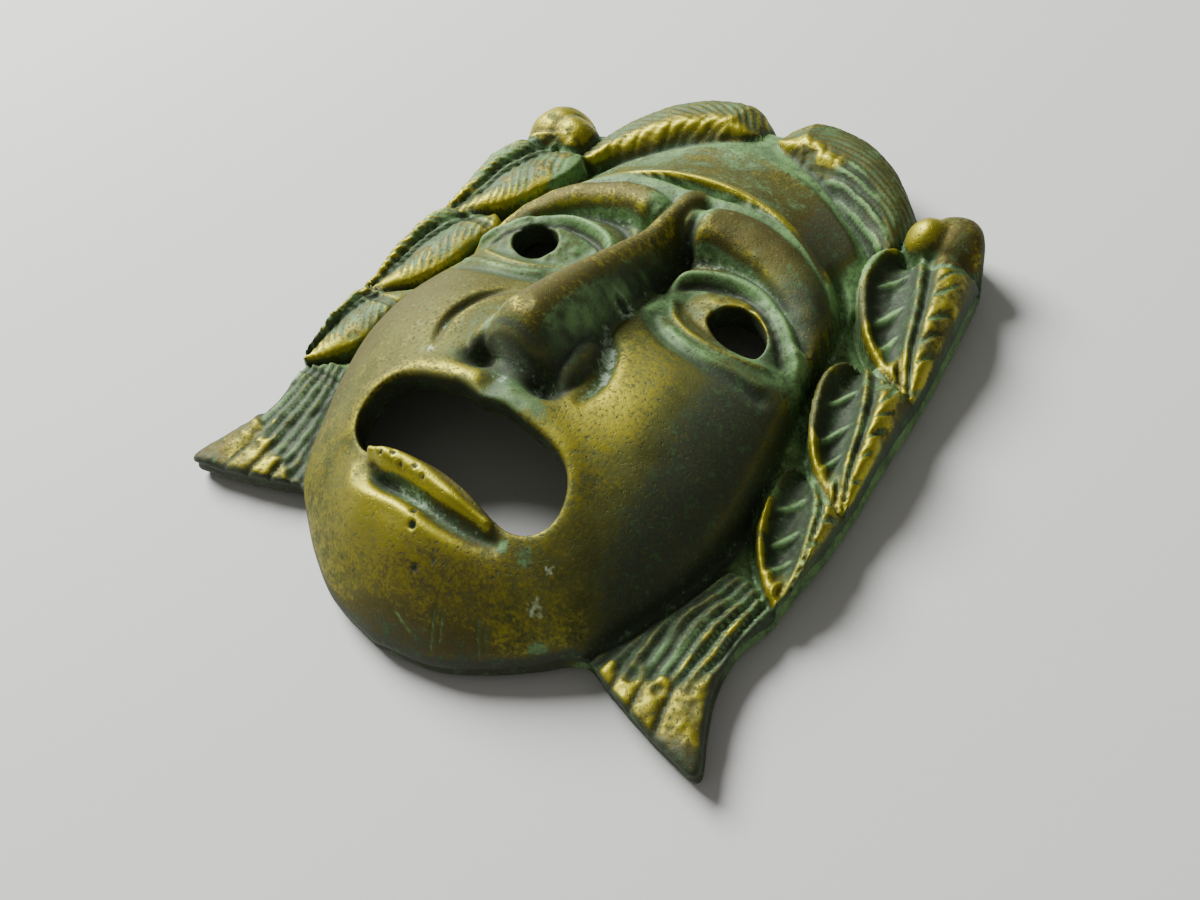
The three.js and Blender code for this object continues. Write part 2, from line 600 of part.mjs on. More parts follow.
// The face from the height grid, cut to its edge, joined to the plate it stands on
const faceHeight = (x, y) => face(x, y, faceReach(Math.abs(x), y));
const faceGrid = heightGrid(faceHeight, FACE_LEVELS, FACE_TOLERANCE);
const shapes = [
  solid(blockUnder(faceGrid, BELOW)).intersect(solid(prism(bothSides(FACE_EDGE, 4), 0, TOP))),
  solid(blockUnderSheet(12, 4, crownPoint)),
  solid(blockUnderSheet(16, 3, bandPoint)),
];
for (const mirror of [false, true]) {
  const add = (rows, columns, pointAt) => {
    shapes.push(solid(blockUnderSheet(rows, columns, pointAt, { mirror })));
  };
  const section = mirror ? LEFT_SECTION : RIGHT_SECTION;
  const columns = section.length - 1;
  for (const leaf of SIDE_LEAVES) {
    const acrossAt = (v) => section[Math.round(v * columns)][0];
    add(9, columns, (u, v) => sideLeafPoint(leaf, section, 0.004 + 0.992 * u, acrossAt(v)));
    for (let k = 0; k < VEINS_PER_LEAF && !mirror; k++) {
      add(3, 2, (u, v) => veinPoint(leaf, k, u, v * 2 - 1));
    }
  }
  add(TOP_LEAF_CUTS * 3, 6, (u, v) => topLeafPoint(u, v * 2 - 1));
  add(6, RIBBON_FLUTES * 4, (u, v) => ribbonPoint(u, v * 2 - 1));
}
for (const ball of [...RIGHT_BERRY, ...LEFT_BERRY]) shapes.push(solid(ballBlock(ball)));
const outer = solid(prism(bothSides(OUTLINE, 3), 0, TOP));
let mask = solid(prism(bothSides(OUTLINE, 3), 0, GROUND));
for (const shape of shapes) mask = mask.add(shape);
mask = mask.intersect(outer);

// The hollow behind follows the front at the wall's thickness
const behind = solid(blockUnder(heightGrid(hollowHeight, BACK_LEVELS, BACK_TOLERANCE), BELOW));
const hollow = behind.intersect(solid(prism(bothSides(HOLLOW_EDGE, 3), BELOW + 1, TOP)));
mask = mask.subtract(hollow);
const openings = [bothSides(MOUTH, 3)];
for (const hole of EYE_HOLES) openings.push(smoothLine([...hole, hole[0]], 3).slice(0, -1));
for (const opening of openings) mask = mask.subtract(solid(prism(opening, BELOW, TOP)));


// The crown sits a little askew, its right shoulder higher than its left
mask = mask.warp((point) => {
  point[1] += SKEW * point[0] * ease(SKEW_FROM, SKEW_TO, point[1]);
});
const cut = mask.getMesh();
const geometry = new THREE.BufferGeometry();
geometry.setAttribute('position', new THREE.Float32BufferAttribute(cut.vertProperties, 3));
geometry.setIndex(Array.from(cut.triVerts));
geometry.computeBoundingBox();
const middle = geometry.boundingBox.getCenter(new THREE.Vector3());
geometry.translate(-middle.x, -middle.y, -geometry.boundingBox.min.z);
geometry.computeVertexNormals();

const bronze = new THREE.MeshStandardMaterial({ color: 0x7d7437, metalness: 0.8, roughness: 0.5 });
const mesh = new THREE.Mesh(geometry, bronze);
mesh.name = 'theatre_mask';

const part = new THREE.Group();
part.name = 'theatre_mask_part';
part.add(mesh);
export default part;
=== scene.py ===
import math

import bpy
import numpy as np
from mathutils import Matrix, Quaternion, Vector, kdtree
from mathutils.geometry import delaunay_2d_cdt


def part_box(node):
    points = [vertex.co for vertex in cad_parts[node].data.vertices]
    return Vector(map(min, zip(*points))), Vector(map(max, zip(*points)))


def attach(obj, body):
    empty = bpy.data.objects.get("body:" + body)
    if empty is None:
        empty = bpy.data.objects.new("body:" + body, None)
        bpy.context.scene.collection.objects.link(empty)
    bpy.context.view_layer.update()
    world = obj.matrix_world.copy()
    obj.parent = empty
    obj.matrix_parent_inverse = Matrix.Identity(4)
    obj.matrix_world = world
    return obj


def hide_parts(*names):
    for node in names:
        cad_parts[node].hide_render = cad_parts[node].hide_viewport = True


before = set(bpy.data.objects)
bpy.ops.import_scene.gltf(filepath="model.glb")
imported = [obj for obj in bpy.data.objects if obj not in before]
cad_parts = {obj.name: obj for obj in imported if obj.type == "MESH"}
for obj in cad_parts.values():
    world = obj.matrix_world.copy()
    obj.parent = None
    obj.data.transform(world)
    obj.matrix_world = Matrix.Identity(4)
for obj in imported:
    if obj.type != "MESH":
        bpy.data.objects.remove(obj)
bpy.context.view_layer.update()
MM = 0.001


# The viewpoint: low over the chin and off to the right of the lying mask, with the camera
# rolled a little, so that the crown points to the upper right of the picture.
camera_place = Vector((66.39, -57.68, 103.71)) * MM
camera_target = Vector((8.60, -11.78, 6.40)) * MM
camera_roll = math.radians(-18.42)
camera_lens = 36.0

camera_data = bpy.data.cameras.new("camera")
camera_data.lens = camera_lens
camera_data.sensor_width = 36.0
camera_data.clip_start = 0.005
camera = bpy.data.objects.new("camera", camera_data)
camera.location = camera_place
camera.rotation_mode = "QUATERNION"
looking = (camera_place - camera_target).to_track_quat("Z", "Y")
camera.rotation_quaternion = looking @ Quaternion((0, 0, 1), camera_roll)
bpy.context.scene.collection.objects.link(camera)
bpy.context.scene.camera = camera


# The table: a plain pale surface just under the rim. A soft lamp stands over the mask's
# upper left, as a window would, and the pale room around fills the shadows.
table_half = 0.9
table_drop = 0.00003
table_colour = (0.63, 0.63, 0.615, 1)
room_colour = (1.0, 0.98, 0.93, 1)
room_strength = 0.225
lamp_from = Vector((-0.70, 0.2, 0.64)).normalized()
lamp_distance = 0.6
lamp_size = 0.34
lamp_power = 10.3

table_mesh = bpy.data.meshes.new("table")
corners = [(x * table_half, y * table_half, -table_drop) for x, y in ((-1, -1), (1, -1), (1, 1), (-1, 1))]
table_mesh.from_pydata(corners, [], [(0, 1, 2, 3)])
table = bpy.data.objects.new("table", table_mesh)
bpy.context.scene.collection.objects.link(table)
table_material = bpy.data.materials.new("pale_table")
table_material.use_nodes = True
table_shader = table_material.node_tree.nodes["Principled BSDF"]
table_shader.inputs["Base Color"].default_value = table_colour
table_shader.inputs["Roughness"].default_value = 0.9
table_shader.inputs["Specular IOR Level"].default_value = 0.1
table_mesh.materials.append(table_material)

room = bpy.data.worlds.new("room")
room.use_nodes = True
room.node_tree.nodes["Background"].inputs["Color"].default_value = room_colour
room.node_tree.nodes["Background"].inputs["Strength"].default_value = room_strength
bpy.context.scene.world = room

lamp_data = bpy.data.lights.new("window_lamp", "AREA")
lamp_data.shape = "DISK"
lamp_data.size = lamp_size
lamp_data.energy = lamp_power
lamp = bpy.data.objects.new("window_lamp", lamp_data)
lamp.location = lamp_from * lamp_distance
lamp.rotation_mode = "QUATERNION"
lamp.rotation_quaternion = lamp_from.to_track_quat("Z", "Y")
bpy.context.scene.collection.objects.link(lamp)


# The mask is one bronze casting. Its front is drawn as a height over a flat plan, feature by
# feature, and each feature also says what lies on the metal there: rubbed brass, brown or
# black tarnish, green verdigris or chalky deposit, with painted shade in the dark skin and a
# painted highlight in the rubbed skin at some places. Plan and heights are in millimetres.
GROUND, CHIN_GROUND = 3.0, 2.3
GROUND_GREEN = 0.8
SKINS = ("worn", "brown", "dark", "green", "chalk")


def ease(low, high, value):
    t = np.clip((value - low) / (high - low), 0, 1)
    return t * t * (3 - 2 * t)


def bell(distance, width):
    return np.exp(-((distance / width) ** 2))


def join(a, b, fillet):
    """The higher of two heights, with a fillet where they meet."""
    t = np.clip(0.5 + 0.5 * (a - b) / fillet, 0, 1)
    return b * (1 - t) + a * t + fillet * t * (1 - t)


def marks(at, pitch, width):
    """Marks that lie one pitch apart: 1 on each of them, fading within the width."""
    return bell((at - np.round(at)) * pitch, width)


def table_of(rows, value):
    places, values = zip(*rows)
    return np.interp(value, places, values)


def smooth_line(points, steps=8):
    """A smooth line through the points, each span drawn in so many steps."""
    p = np.array(points, float)
    p = np.vstack([2 * p[0] - p[1], p, 2 * p[-1] - p[-2]])
    line = []
    for a, b, c, d in zip(p, p[1:], p[2:], p[3:]):
        for t in np.arange(steps) / steps:
            line.append(b + 0.5 * t * (c - a + t * (2 * a - 5 * b + 4 * c - d + t * (3 * b - a - 3 * c + d))))
    line.append(p[-2])
    return np.array(line)


def follow(points, x, y, reach=5.0):
    """How far each place is from a smooth line, how far along it (0 to 1) and on which side."""
    line = smooth_line(points)
    distance = np.full(x.shape, 99.0)
    place = np.zeros(x.shape)
    side = np.ones(x.shape)
    low, high = line.min(axis=0) - reach, line.max(axis=0) + reach
    near = (x > low[0]) & (x < high[0]) & (y > low[1]) & (y < high[1])
    px, py = x[near], y[near]
    best, best_place, best_side = distance[near], place[near], side[near]
    lengths = np.hypot(*np.diff(line, axis=0).T)
    starts = np.concatenate([[0], np.cumsum(lengths)])
    for (ax, ay), (bx, by), start, length in zip(line, line[1:], starts, lengths):
        dx, dy = bx - ax, by - ay
        t = np.clip(((px - ax) * dx + (py - ay) * dy) / length ** 2, 0, 1)
        ox, oy = px - ax - t * dx, py - ay - t * dy
        away = np.hypot(ox, oy)
        closer = away < best
        best[closer] = away[closer]
        best_place[closer] = ((start + t * length) / starts[-1])[closer]
        best_side[closer] = np.where(dx * oy - dy * ox < 0, -1, 1)[closer]
    distance[near], place[near], side[near] = best, best_place, best_side
    return distance, place, side


def rough(x, y, size, seed):
    """Smooth random lumps from -1 to 1, about this size across."""
    cells = np.random.default_rng(seed).uniform(-1, 1, (64, 64))
    u, v = x / size + 31.7, y / size + 17.3
    i, j = np.floor(u).astype(int), np.floor(v).astype(int)
    s, t = ease(0, 1, u - i), ease(0, 1, v - j)
    low = cells[j % 64, i % 64] * (1 - s) + cells[j % 64, (i + 1) % 64] * s
    high = cells[(j + 1) % 64, i % 64] * (1 - s) + cells[(j + 1) % 64, (i + 1) % 64] * s
    return low * (1 - t) + high * t


def mottling(x, y, size, seed):
    """The same lumps from 0 to 1."""
    return 0.5 + 0.5 * rough(x, y, size, seed)


class Relief:
    """The front at a set of places: its height, and how much of each skin lies there."""

    def __init__(self, x, y):
        self.x, self.y = x, y
        self.ax = np.abs(x)
        self.right = ease(-0.8, 0.8, x)
        self.left = 1 - self.right
        chin = ease(-24, -30, y) * ease(20, 16, self.ax)
        self.z = GROUND + (CHIN_GROUND - GROUND) * chin
        self.skin = {name: np.zeros(x.shape) for name in SKINS}
        self.skin["green"] += GROUND_GREEN

    def lumps(self, size, seed):
        return rough(self.x, self.y, size, seed)

    def mottle(self, size, seed):
        return mottling(self.x, self.y, size, seed)

    def paint(self, name, amount):
        self.skin[name] = np.clip(np.maximum(self.skin[name], amount), 0, 1)

    def cover(self, amount, **under):
        """A new surface hides the skin of what it covers and brings its own."""
        for name in SKINS:
            self.skin[name] = self.skin[name] * (1 - amount) + amount * under.get(name, 0)

    def patch(self, name, x, y, radius, amount):
        away = np.hypot(self.x - x, self.y - y) / radius
        self.paint(name, amount * ease(1.25, 0.6, away + 0.25 * self.lumps(radius * 0.6, 5)))

    def dent(self, x, y, radius, depth):
        away = np.hypot(self.x - x, self.y - y)
        self.z -= depth * ease(radius, radius * 0.5, away)

    def pit(self, x, y, radius, depth, amount):
        """A small round hole in the casting, dark inside."""
        self.dent(x, y, radius, depth)
        self.patch("dark", x, y, radius, amount)


# The ribbon ends at the jaw: flat cast bands that leave the wreath under the lowest leaf,
# fluted along their length, and flare to a hem of smooth rolled lobes.
RIBBON_TOP = -11.0
RIBBON_LENGTH = 20.0
RIBBON_MIDDLE = [(0, 28.6), (0.3, 27), (0.6, 26.6), (1, 27.6)]
RIBBON_WIDTH = [(0, 4.6), (0.3, 6), (0.6, 7), (1, 9.4)]
RIBBON_Z, RIBBON_LOWEST = 3.5, 1.9
RIBBON_STRANDS = 9
STRAND_HEIGHT, LOBE_HEIGHT = 0.45, 0.6
LOBE_STARTS = [(-1, 0.76), (-0.6, 0.72), (-0.2, 0.7), (0.2, 0.66), (0.5, 0.6), (0.8, 0.5), (1, 0.46)]
LOBES = [(-0.86, 0.16), (-0.56, 0.15), (-0.24, 0.16), (0.1, 0.18), (0.64, 0.36)]


def add_ribbons(relief):
    down = (RIBBON_TOP - relief.y) / RIBBON_LENGTH
    width = table_of(RIBBON_WIDTH, down)
    across = (relief.ax - table_of(RIBBON_MIDDLE, down)) / width
    there = ease(-0.02, 0.03, down) * ease(1.16, 1.08, np.abs(across))
    wander = 0.07 * rough(down * 4, relief.right * 3 + across, 1.0, 12)
    bend = across + wander + 0.12 * ease(0.4, 1, down) * across
    uneven = 1 + 0.6 * rough(across * 5, relief.right * 9 + down * 3, 1.0, 16)
    strand = np.abs(np.sin(bend * math.pi * RIBBON_STRANDS / 2 + 0.6)) ** 1.5 * uneven
    strand *= 1 - 0.3 * relief.left
    lumps = relief.lumps(1.3, 13)
    hem = ease(-0.06, 0.05, down - table_of(LOBE_STARTS, across) + 0.05 * lumps)
    lobe = np.zeros(relief.x.shape)
    for middle, half in LOBES:
        lobe = np.maximum(lobe, np.sqrt(np.clip(1 - ((across - middle) / half) ** 2, 0, 1)))
    tip = ease(0.84, 0.94, down + 0.06 * across)
    z = RIBBON_Z - 0.7 * across ** 2 - 0.5 * ease(0.5, 1, down) + (0.1 + STRAND_HEIGHT * strand) * (1 - hem)
    z += (0.25 + LOBE_HEIGHT * lobe) * hem + 0.12 * lumps + 0.09 * relief.lumps(0.6, 14)
    relief.z = relief.z * (1 - there) + there * np.maximum(z, RIBBON_LOWEST)
    crest = ease(0.55, 0.95, strand) * (1 - hem)
    flank = bell(strand - 0.55, 0.22) * (1 - hem)
    gold = ease(-0.3, 0.5, relief.lumps(1.6, 15) + 0.5 * across - 0.3 + 1.8 * (down - 0.5))
    relief.cover(there, green=0.6, dark=0.7)
    relief.cover(there * flank * (0.35 + 0.65 * ease(-0.4, 0.6, across)), green=1.0, dark=0.0)
    relief.cover(there * crest * 0.9, green=0.5, brown=0.5, dark=0.65, worn=0.12)
    relief.cover(there * crest * gold * 0.9, worn=0.5, brown=0.6, green=0.25, dark=0.1)
    relief.cover(there * hem, dark=0.6, green=0.5, brown=0.4)
    spotty = relief.mottle(1.1, 17)
    rolled = there * hem * ease(0.25, 0.55, lobe)
    relief.cover(rolled, worn=0.3 + 0.35 * spotty, brown=0.6, dark=0.4 * (1 - spotty))
    relief.cover(there * tip * ease(0.1, 0.4, across), brown=0.7, dark=0.62)
    outer_lobe = there * hem * ease(0.3, 0.8, across) * relief.left
    relief.cover(outer_lobe * 0.85, brown=0.75, dark=0.5, worn=0.1)


# Three leaves hang down each side, each overlapping the next. On the right each has a deep
# hollow in a raised border, painted black as dark patina and painted shade, crossed by short
# veins, and a lumpy roll out to the mask's edge. On the left a smooth roll takes the hollow's
# place, and a herringbone is cut across it.
SIDE_LEAVES = [
    {"rib": [(23.8, 30.2, 6.0), (25.6, 26.6, 7.0), (27.6, 22.0, 7.0), (29.0, 18.0, 6.0), (31.4, 13.6, 4.6)],
     "inner": 7.2, "gold_from": 0.7, "gold_above": 0.34},
    {"rib": [(25.8, 15.8, 4.8), (28.0, 12.0, 6.3), (29.6, 7.8, 6.3), (30.8, 3.0, 5.4), (32.6, -1.4, 4.0)],
     "inner": 6.1, "gold_from": 0.58, "gold_above": 0.0},
    {"rib": [(27.2, 2.2, 4.2), (30.2, -1.4, 5.4), (31.4, -4.6, 5.3), (32.2, -8.0, 4.7), (32.6, -12.9, 3.6)],
     "inner": 6.4, "gold_from": 0.3, "gold_above": 0.0},
]
SIDE_EDGE = [
    (-18, 31.4), (-13.6, 32.4), (-9, 33), (-3, 33.3), (4, 33.1),
    (12, 32.8), (18.7, 32.4), (25, 31.7), (31, 30.2),
]
VEIN_STARTS = (0.2, 0.44, 0.62, 0.78)
VEIN_FALL, VEIN_FROM, VEIN_TO = 0.36, 0.2, 0.72
HERRING_PITCH, HERRING_WIDTH, HERRING_DEPTH = 1.25, 0.3, 0.34
NICK_PITCH, NICK_WIDTH, NICK_DEPTH = 2.1, 0.24, 0.35
HOLLOW_DEPTH, BORDER_HEIGHT, VEIN_HEIGHT = 1.7, 0.6, 0.65


def add_side_leaf(relief, leaf):
    x, y = relief.ax, relief.y
    right, left = relief.right, relief.left
    rib = smooth_line(leaf["rib"])
    top, tip = rib[0, 1], rib[-1, 1]
    length = top - tip
    along = np.clip((top - y) / length, 0, 1)
    rib_x = np.interp(-y, -rib[:, 1], rib[:, 0]) + 0.35 * right
    rib_z = np.interp(-y, -rib[:, 1], rib[:, 2])
    across = x - rib_x
    inner = ease(0.2, -0.2, across)
    outer = 1 - inner
    inner_width = leaf["inner"] * np.sin(math.pi * along ** 0.75) ** 0.62
    outer_width = np.maximum(table_of(SIDE_EDGE, y) + 0.3 - rib_x, 0.4) * ease(-0.02, 0.06, along)
    q = np.abs(across) / np.maximum(np.where(across < 0, inner_width, outer_width), 0.05)
    edge = (1 - q) * inner_width
    inside = (y < top) & (y > tip)
    there = np.where(inside, ease(-0.05, 0.3, edge) * inner + ease(1.3, 1.05, q) * outer, 0)
    lumps = rough(x, y, 1.6, 23)
    mottle = mottling(x, y, 1.1, 25)

    # On the right a hollow in its raised border, on the left a smooth roll beside a groove
    bowl = np.sin(math.pi * np.clip((q - 0.1) / 0.72, 0, 1)) ** 0.7 * ease(0.86, 0.66, along)
    border = bell(edge - 0.95, 0.85) * ease(0, 0.06, along)
    hollow_z = rib_z - 0.5 * q - HOLLOW_DEPTH * bowl + (BORDER_HEIGHT + 0.2 * lumps) * border
    roll_z = rib_z - 0.7 + 1.1 * np.clip(1 - ((q - 0.56) / 0.5) ** 2, 0, 1) ** 0.7
    inner_z = hollow_z * right + roll_z * left
    outer_z = rib_z - 0.7 * bell(q - 0.13, 0.11) + 0.75 * np.sin(math.pi * np.clip(q, 0, 1)) ** 0.8
    outer_z += 0.3 * lumps * ease(0.2, 0.4, q) - 2.4 * q ** 3.5
    z = inner_z * inner + outer_z * outer + 0.35 * bell(across + 0.15, 0.55) * ease(0, 0.1, along)

    # Raised veins in the hollow, a herringbone on the left, and nicks across the outer roll
    fall = along - VEIN_FALL * (q - VEIN_FROM)
    taper = np.sin(math.pi * np.clip((q - VEIN_FROM) / (VEIN_TO - VEIN_FROM), 0, 1)) ** 0.6 * inner
    vein = np.zeros(x.shape)
    for start in VEIN_STARTS:
        vein = np.maximum(vein, bell((fall - start) * length * 0.72, 0.12 + 0.32 * taper) * taper * right)
    z += VEIN_HEIGHT * vein
    herring_at = (along * length - 1.1 * np.abs(across)) / HERRING_PITCH + 0.35 * rough(x, y, 2.5, 21)
    herring = marks(herring_at, HERRING_PITCH, HERRING_WIDTH) * left * ease(0.02, 0.1, along)
    herring *= (outer * ease(0.05, 0.2, q) + 0.5 * inner * ease(0.95, 0.7, q)) * ease(-0.7, 0.1, lumps)
    z -= HERRING_DEPTH * herring
    nick_at = (along * length + 1.2 * np.abs(across)) / NICK_PITCH + 0.4 * rough(x, y, 3, 22)
    nick = marks(nick_at, NICK_PITCH, NICK_WIDTH)
    nick *= right * outer * ease(0.24, 0.4, q) * ease(0.8, 0.6, q) * ease(0.04, 0.12, along)
    z -= NICK_DEPTH * nick
    z += 0.1 * rough(x, y, 0.7, 24) * (1 - left * inner)

    # A thin shadow line is cut around the leaf where it lies over the next one
    around = np.where((y < top + 1) & (y > tip - 1.2) & (across < 0), bell(edge + 0.5, 0.45), 0)
    relief.z -= (0.5 + 0.6 * left) * around * (1 - there)
    relief.z = relief.z * (1 - there) + there * z
    low = ease(0.64, 0.84, along + 0.1 * lumps)
    # The right leaves' hollows are painted near-black: dark patina, and painted shade in the hollow facing
    # away from the lamp.
    relief.cover(there * inner * right, dark=0.86, green=0.6 + 0.3 * mottle)
    relief.cover(there * inner * left, worn=0.3, brown=0.7, dark=0.35, green=0.68 - 0.35 * mottle)
    relief.cover(there * outer * right, worn=0.2 * mottle, brown=0.6, dark=0.5, green=0.6 * (1 - mottle))
    relief.cover(there * outer * left, worn=0.3, brown=0.6, dark=0.35, green=0.8 - 0.35 * mottle)
    rolled = bell(q - 0.5, 0.26) * outer * right * ease(-0.3, 0.4, lumps + 0.4 * (along - 0.3))
    relief.cover(there * rolled * 0.85, worn=0.3 + 0.25 * mottle, brown=0.55, green=0.3)
    bordered = there * border * inner * right
    relief.cover(bordered * 0.9, brown=0.5, dark=0.75, green=0.3)
    gold = ease(leaf["gold_from"] - 0.1, leaf["gold_from"] + 0.12, along + 0.15 * (mottle - 0.5))
    gold = np.clip(gold + ease(leaf["gold_above"], leaf["gold_above"] - 0.2, along), 0, 1)
    relief.cover(bordered * gold * ease(-0.6, 0.2, lumps), worn=0.62, brown=0.5)
    relief.cover(there * low, worn=0.55, brown=0.5, green=0.15)
    relief.cover(there * vein * (1 - 0.6 * low), green=1.0)
    rib_line = bell(across + 0.15, 0.4)
    relief.cover(there * bell(q - 0.13, 0.12) * outer * right * 0.9, dark=0.65, green=0.7)
    relief.cover(there * rib_line * (1 - low) * right * 0.7, green=0.55, dark=0.8 * mottle, brown=0.4)
    relief.cover(there * bell(across, 0.4) * left * 0.8, green=0.7, dark=0.6)
    relief.cover(there * np.maximum(nick, 0.7 * herring), green=0.85, dark=0.3)
    # A dark line along the outer roll's foot at the mask's edge: painted shade under the roll.
    outer_foot = there * outer * ease(0.84, 0.96, q)
    relief.cover(outer_foot, green=0.6, dark=0.75)
    relief.cover(around * (1 - there * 0.7) * right, green=1.0, chalk=0.12)
    # On the left the cut line round the leaf is painted near-black: a painted shadow under the leaf's raised
    # edge.
    relief.cover(around * (1 - there * 0.7) * left, dark=0.95, green=0.2)


# The crown: a domed band over the forehead with a sharp lower edge, and above it two big
# leaves that meet in the middle, cut with slanting lines, each with a lumpy rubbed ridge.
CROWN_HALF = 21.0
BAND_HALF = 18.6
TOP_LEAF = [(1.2, 38.8), (6, 40), (11.8, 38), (17.2, 33.6), (20.8, 28.6)]
TOP_LEAF_WIDTH = [(0, 0.2), (0.05, 3.4), (0.15, 4.6), (0.35, 5.2), (0.7, 4.4), (0.95, 2), (1, 0.2)]
TOP_LEAF_CREST = [(0, 7.4), (0.15, 8.9), (0.5, 8.4), (1, 6)]
TOP_LEAF_LENGTH = 25.0
LINE_PITCH, LINE_WIDTH, LINE_DEPTH = 0.8, 0.22, 0.24
SCALLOP_PITCH, SCALLOP_WIDTH, SCALLOP_DEPTH = 2.2, 0.42, 0.16
STROKE_PITCH, STROKE_WIDTH, STROKE_HEIGHT = 1.35, 0.32, 0.4
RIDGE_HEIGHT = 0.5


def add_crown(relief):
    x, y = relief.ax, relief.y
    low = 23 - 0.008 * x ** 2
    high = 41 - 0.02 * x ** 2
    up = (y - low) / (high - low)
    z = 9.2 - 0.012 * x ** 2 - 3 * np.clip(up, 0, 1.2) ** 2 + 0.08 * relief.lumps(2.4, 31)
    there = ease(-0.04, 0.02, up) * ease(1.05, 0.98, up) * ease(CROWN_HALF + 0.3, CROWN_HALF - 0.5, x)
    relief.z = np.maximum(relief.z, relief.z * (1 - there) + z * there)
    clouds = relief.mottle(2.6, 38)
    relief.cover(there, green=0.8 + 0.2 * clouds, dark=0.3 * (1 - clouds))


def band_edge(x):
    return 26.2 - 0.01 * x ** 2 - 0.00002 * x ** 4


def add_band(relief):
    x, y = relief.x, relief.y
    low = band_edge(x)
    high = np.maximum(35 - 0.022 * x ** 2, low + 1)
    up = np.clip((y - low) / (high - low), 0, 1)
    z = 11.3 - 0.012 * x ** 2 - 2.6 * up - 0.7 * np.sin(math.pi * up) + 0.06 * relief.lumps(3, 32)
    z += 0.25 * bell(y - low - 0.5, 0.5)
    ends = ease(BAND_HALF + 0.2, BAND_HALF - 2.5, relief.ax)
    there = ease(-0.3, 0.12, y - low) * ease(0.5, -0.6, y - high) * ends
    relief.z = relief.z * (1 - there) + there * z
    streaks = mottling(x * 0.5, y, 1.1, 34)
    relief.cover(there, brown=0.5, worn=0.22 + 0.2 * streaks, green=0.35 * (1 - streaks) + 0.28)
    relief.cover(there * ease(-4, -11, x) * 0.8, worn=0.35 * streaks, green=0.85 - 0.6 * streaks, brown=0.4)
    relief.cover(there * ease(0.86, 1.0, up), green=0.95, chalk=0.15)
    relief.cover(there * ease(8.5, 14.5, x + 2 * up) * 0.95, brown=0.7, dark=0.62, green=0.3 * (1 - streaks))
    lit_edge = bell(y - low - 0.42, 0.42) * ease(14, 10.5, x) * (0.75 + 0.25 * relief.lumps(1.5, 35))
    relief.cover(there * lit_edge, worn=0.8, brown=0.3)


def add_top_leaf(relief):
    x, y = relief.ax, relief.y
    right, left = relief.right, relief.left
    distance, place, side = follow(TOP_LEAF, x, y, reach=7)
    width = table_of(TOP_LEAF_WIDTH, place)
    q = distance / np.maximum(width, 0.3)
    outer = ease(-0.6, 0.6, side * distance)
    at = place * TOP_LEAF_LENGTH
    lumps = rough(x, y, 1.5, 36)

    # Fine cut lines: nearly along the leaf on the right, slanting off it on the left
    wander = 0.35 * relief.lumps(3.5, 33)
    line_at = ((0.26 * at - 0.97 * side * distance) * right
               + (0.57 * at - 0.82 * side * distance) * left) / LINE_PITCH + wander
    line = marks(line_at, LINE_PITCH, LINE_WIDTH) * ease(1.05, 0.9, q) * ease(0.0, 0.06, place)
    scallop_at = (at - 0.9 * distance) / SCALLOP_PITCH + 0.3 * lumps
    scallop = marks(scallop_at, SCALLOP_PITCH, SCALLOP_WIDTH)
    under = 1 - outer
    coarse = under * ease(0.4, 0.5, place) * right
    stroke_at = (0.3 * at + 0.95 * distance) / STROKE_PITCH + 0.1 * lumps
    stroke = marks(stroke_at, STROKE_PITCH, STROKE_WIDTH)
    z = table_of(TOP_LEAF_CREST, place) - 3.2 * np.clip(q, 0, 1.3) ** 2.4
    z -= LINE_DEPTH * line * (outer + 0.3 * under)
    ridge = bell(q - 0.42, 0.27) * under
    z += RIDGE_HEIGHT * ridge * (1 - coarse) * (0.7 + 0.6 * lumps)
    cut = STROKE_HEIGHT * stroke * coarse - SCALLOP_DEPTH * scallop * (1 - coarse)
    z += cut * under * ease(0.95, 0.7, q) * ease(0.05, 0.3, q)
    there = ease(1.12, 1.02, q) * ease(0.6, 1.2, z - relief.z + 1.2)
    relief.z = np.where(q < 1.15, join(relief.z, z, 0.15), relief.z)
    streaks = mottling(x, y, 2.0, 37)
    rubbed = 0.24 * streaks + 0.08 * left
    relief.cover(there, brown=0.7, worn=rubbed, green=0.35 * (1 - streaks) + 0.2, dark=0.42)
    relief.cover(there * line * (outer + 0.4 * under) * (0.85 - 0.15 * right), green=0.75, dark=0.45)
    rubbed = ridge * (left * ease(0.02, 0.1, place) + right * ease(0.5, 0.36, place))
    relief.cover(there * rubbed * np.clip(ease(-0.3, 0.2, lumps) + 0.8 * left, 0, 1), worn=0.75, brown=0.5)
    relief.cover(there * coarse, dark=0.75, green=0.5, brown=0.3)
    relief.cover(there * coarse * ease(0.45, 0.85, stroke), green=1.0)
    relief.cover(there * under * ease(0.7, 0.95, q), green=0.7, dark=0.5)
    relief.cover(there * outer * ease(0.9, 1.05, q) * 0.7, green=0.6, dark=0.5)


# A berry at each side of the crown: a small ball against a larger knob that makes the
# mask's shoulder. On the right the ball is rubbed a little brighter than the knob.
BERRY_BALL = (24.0, 31.5, 2.8, 2.9, 4.6, 4.4)
BERRY_KNOB = (26.5, 32.5, 4.5, 4.3, 3.4, 5.0)
LEFT_SHIFT = 1.1


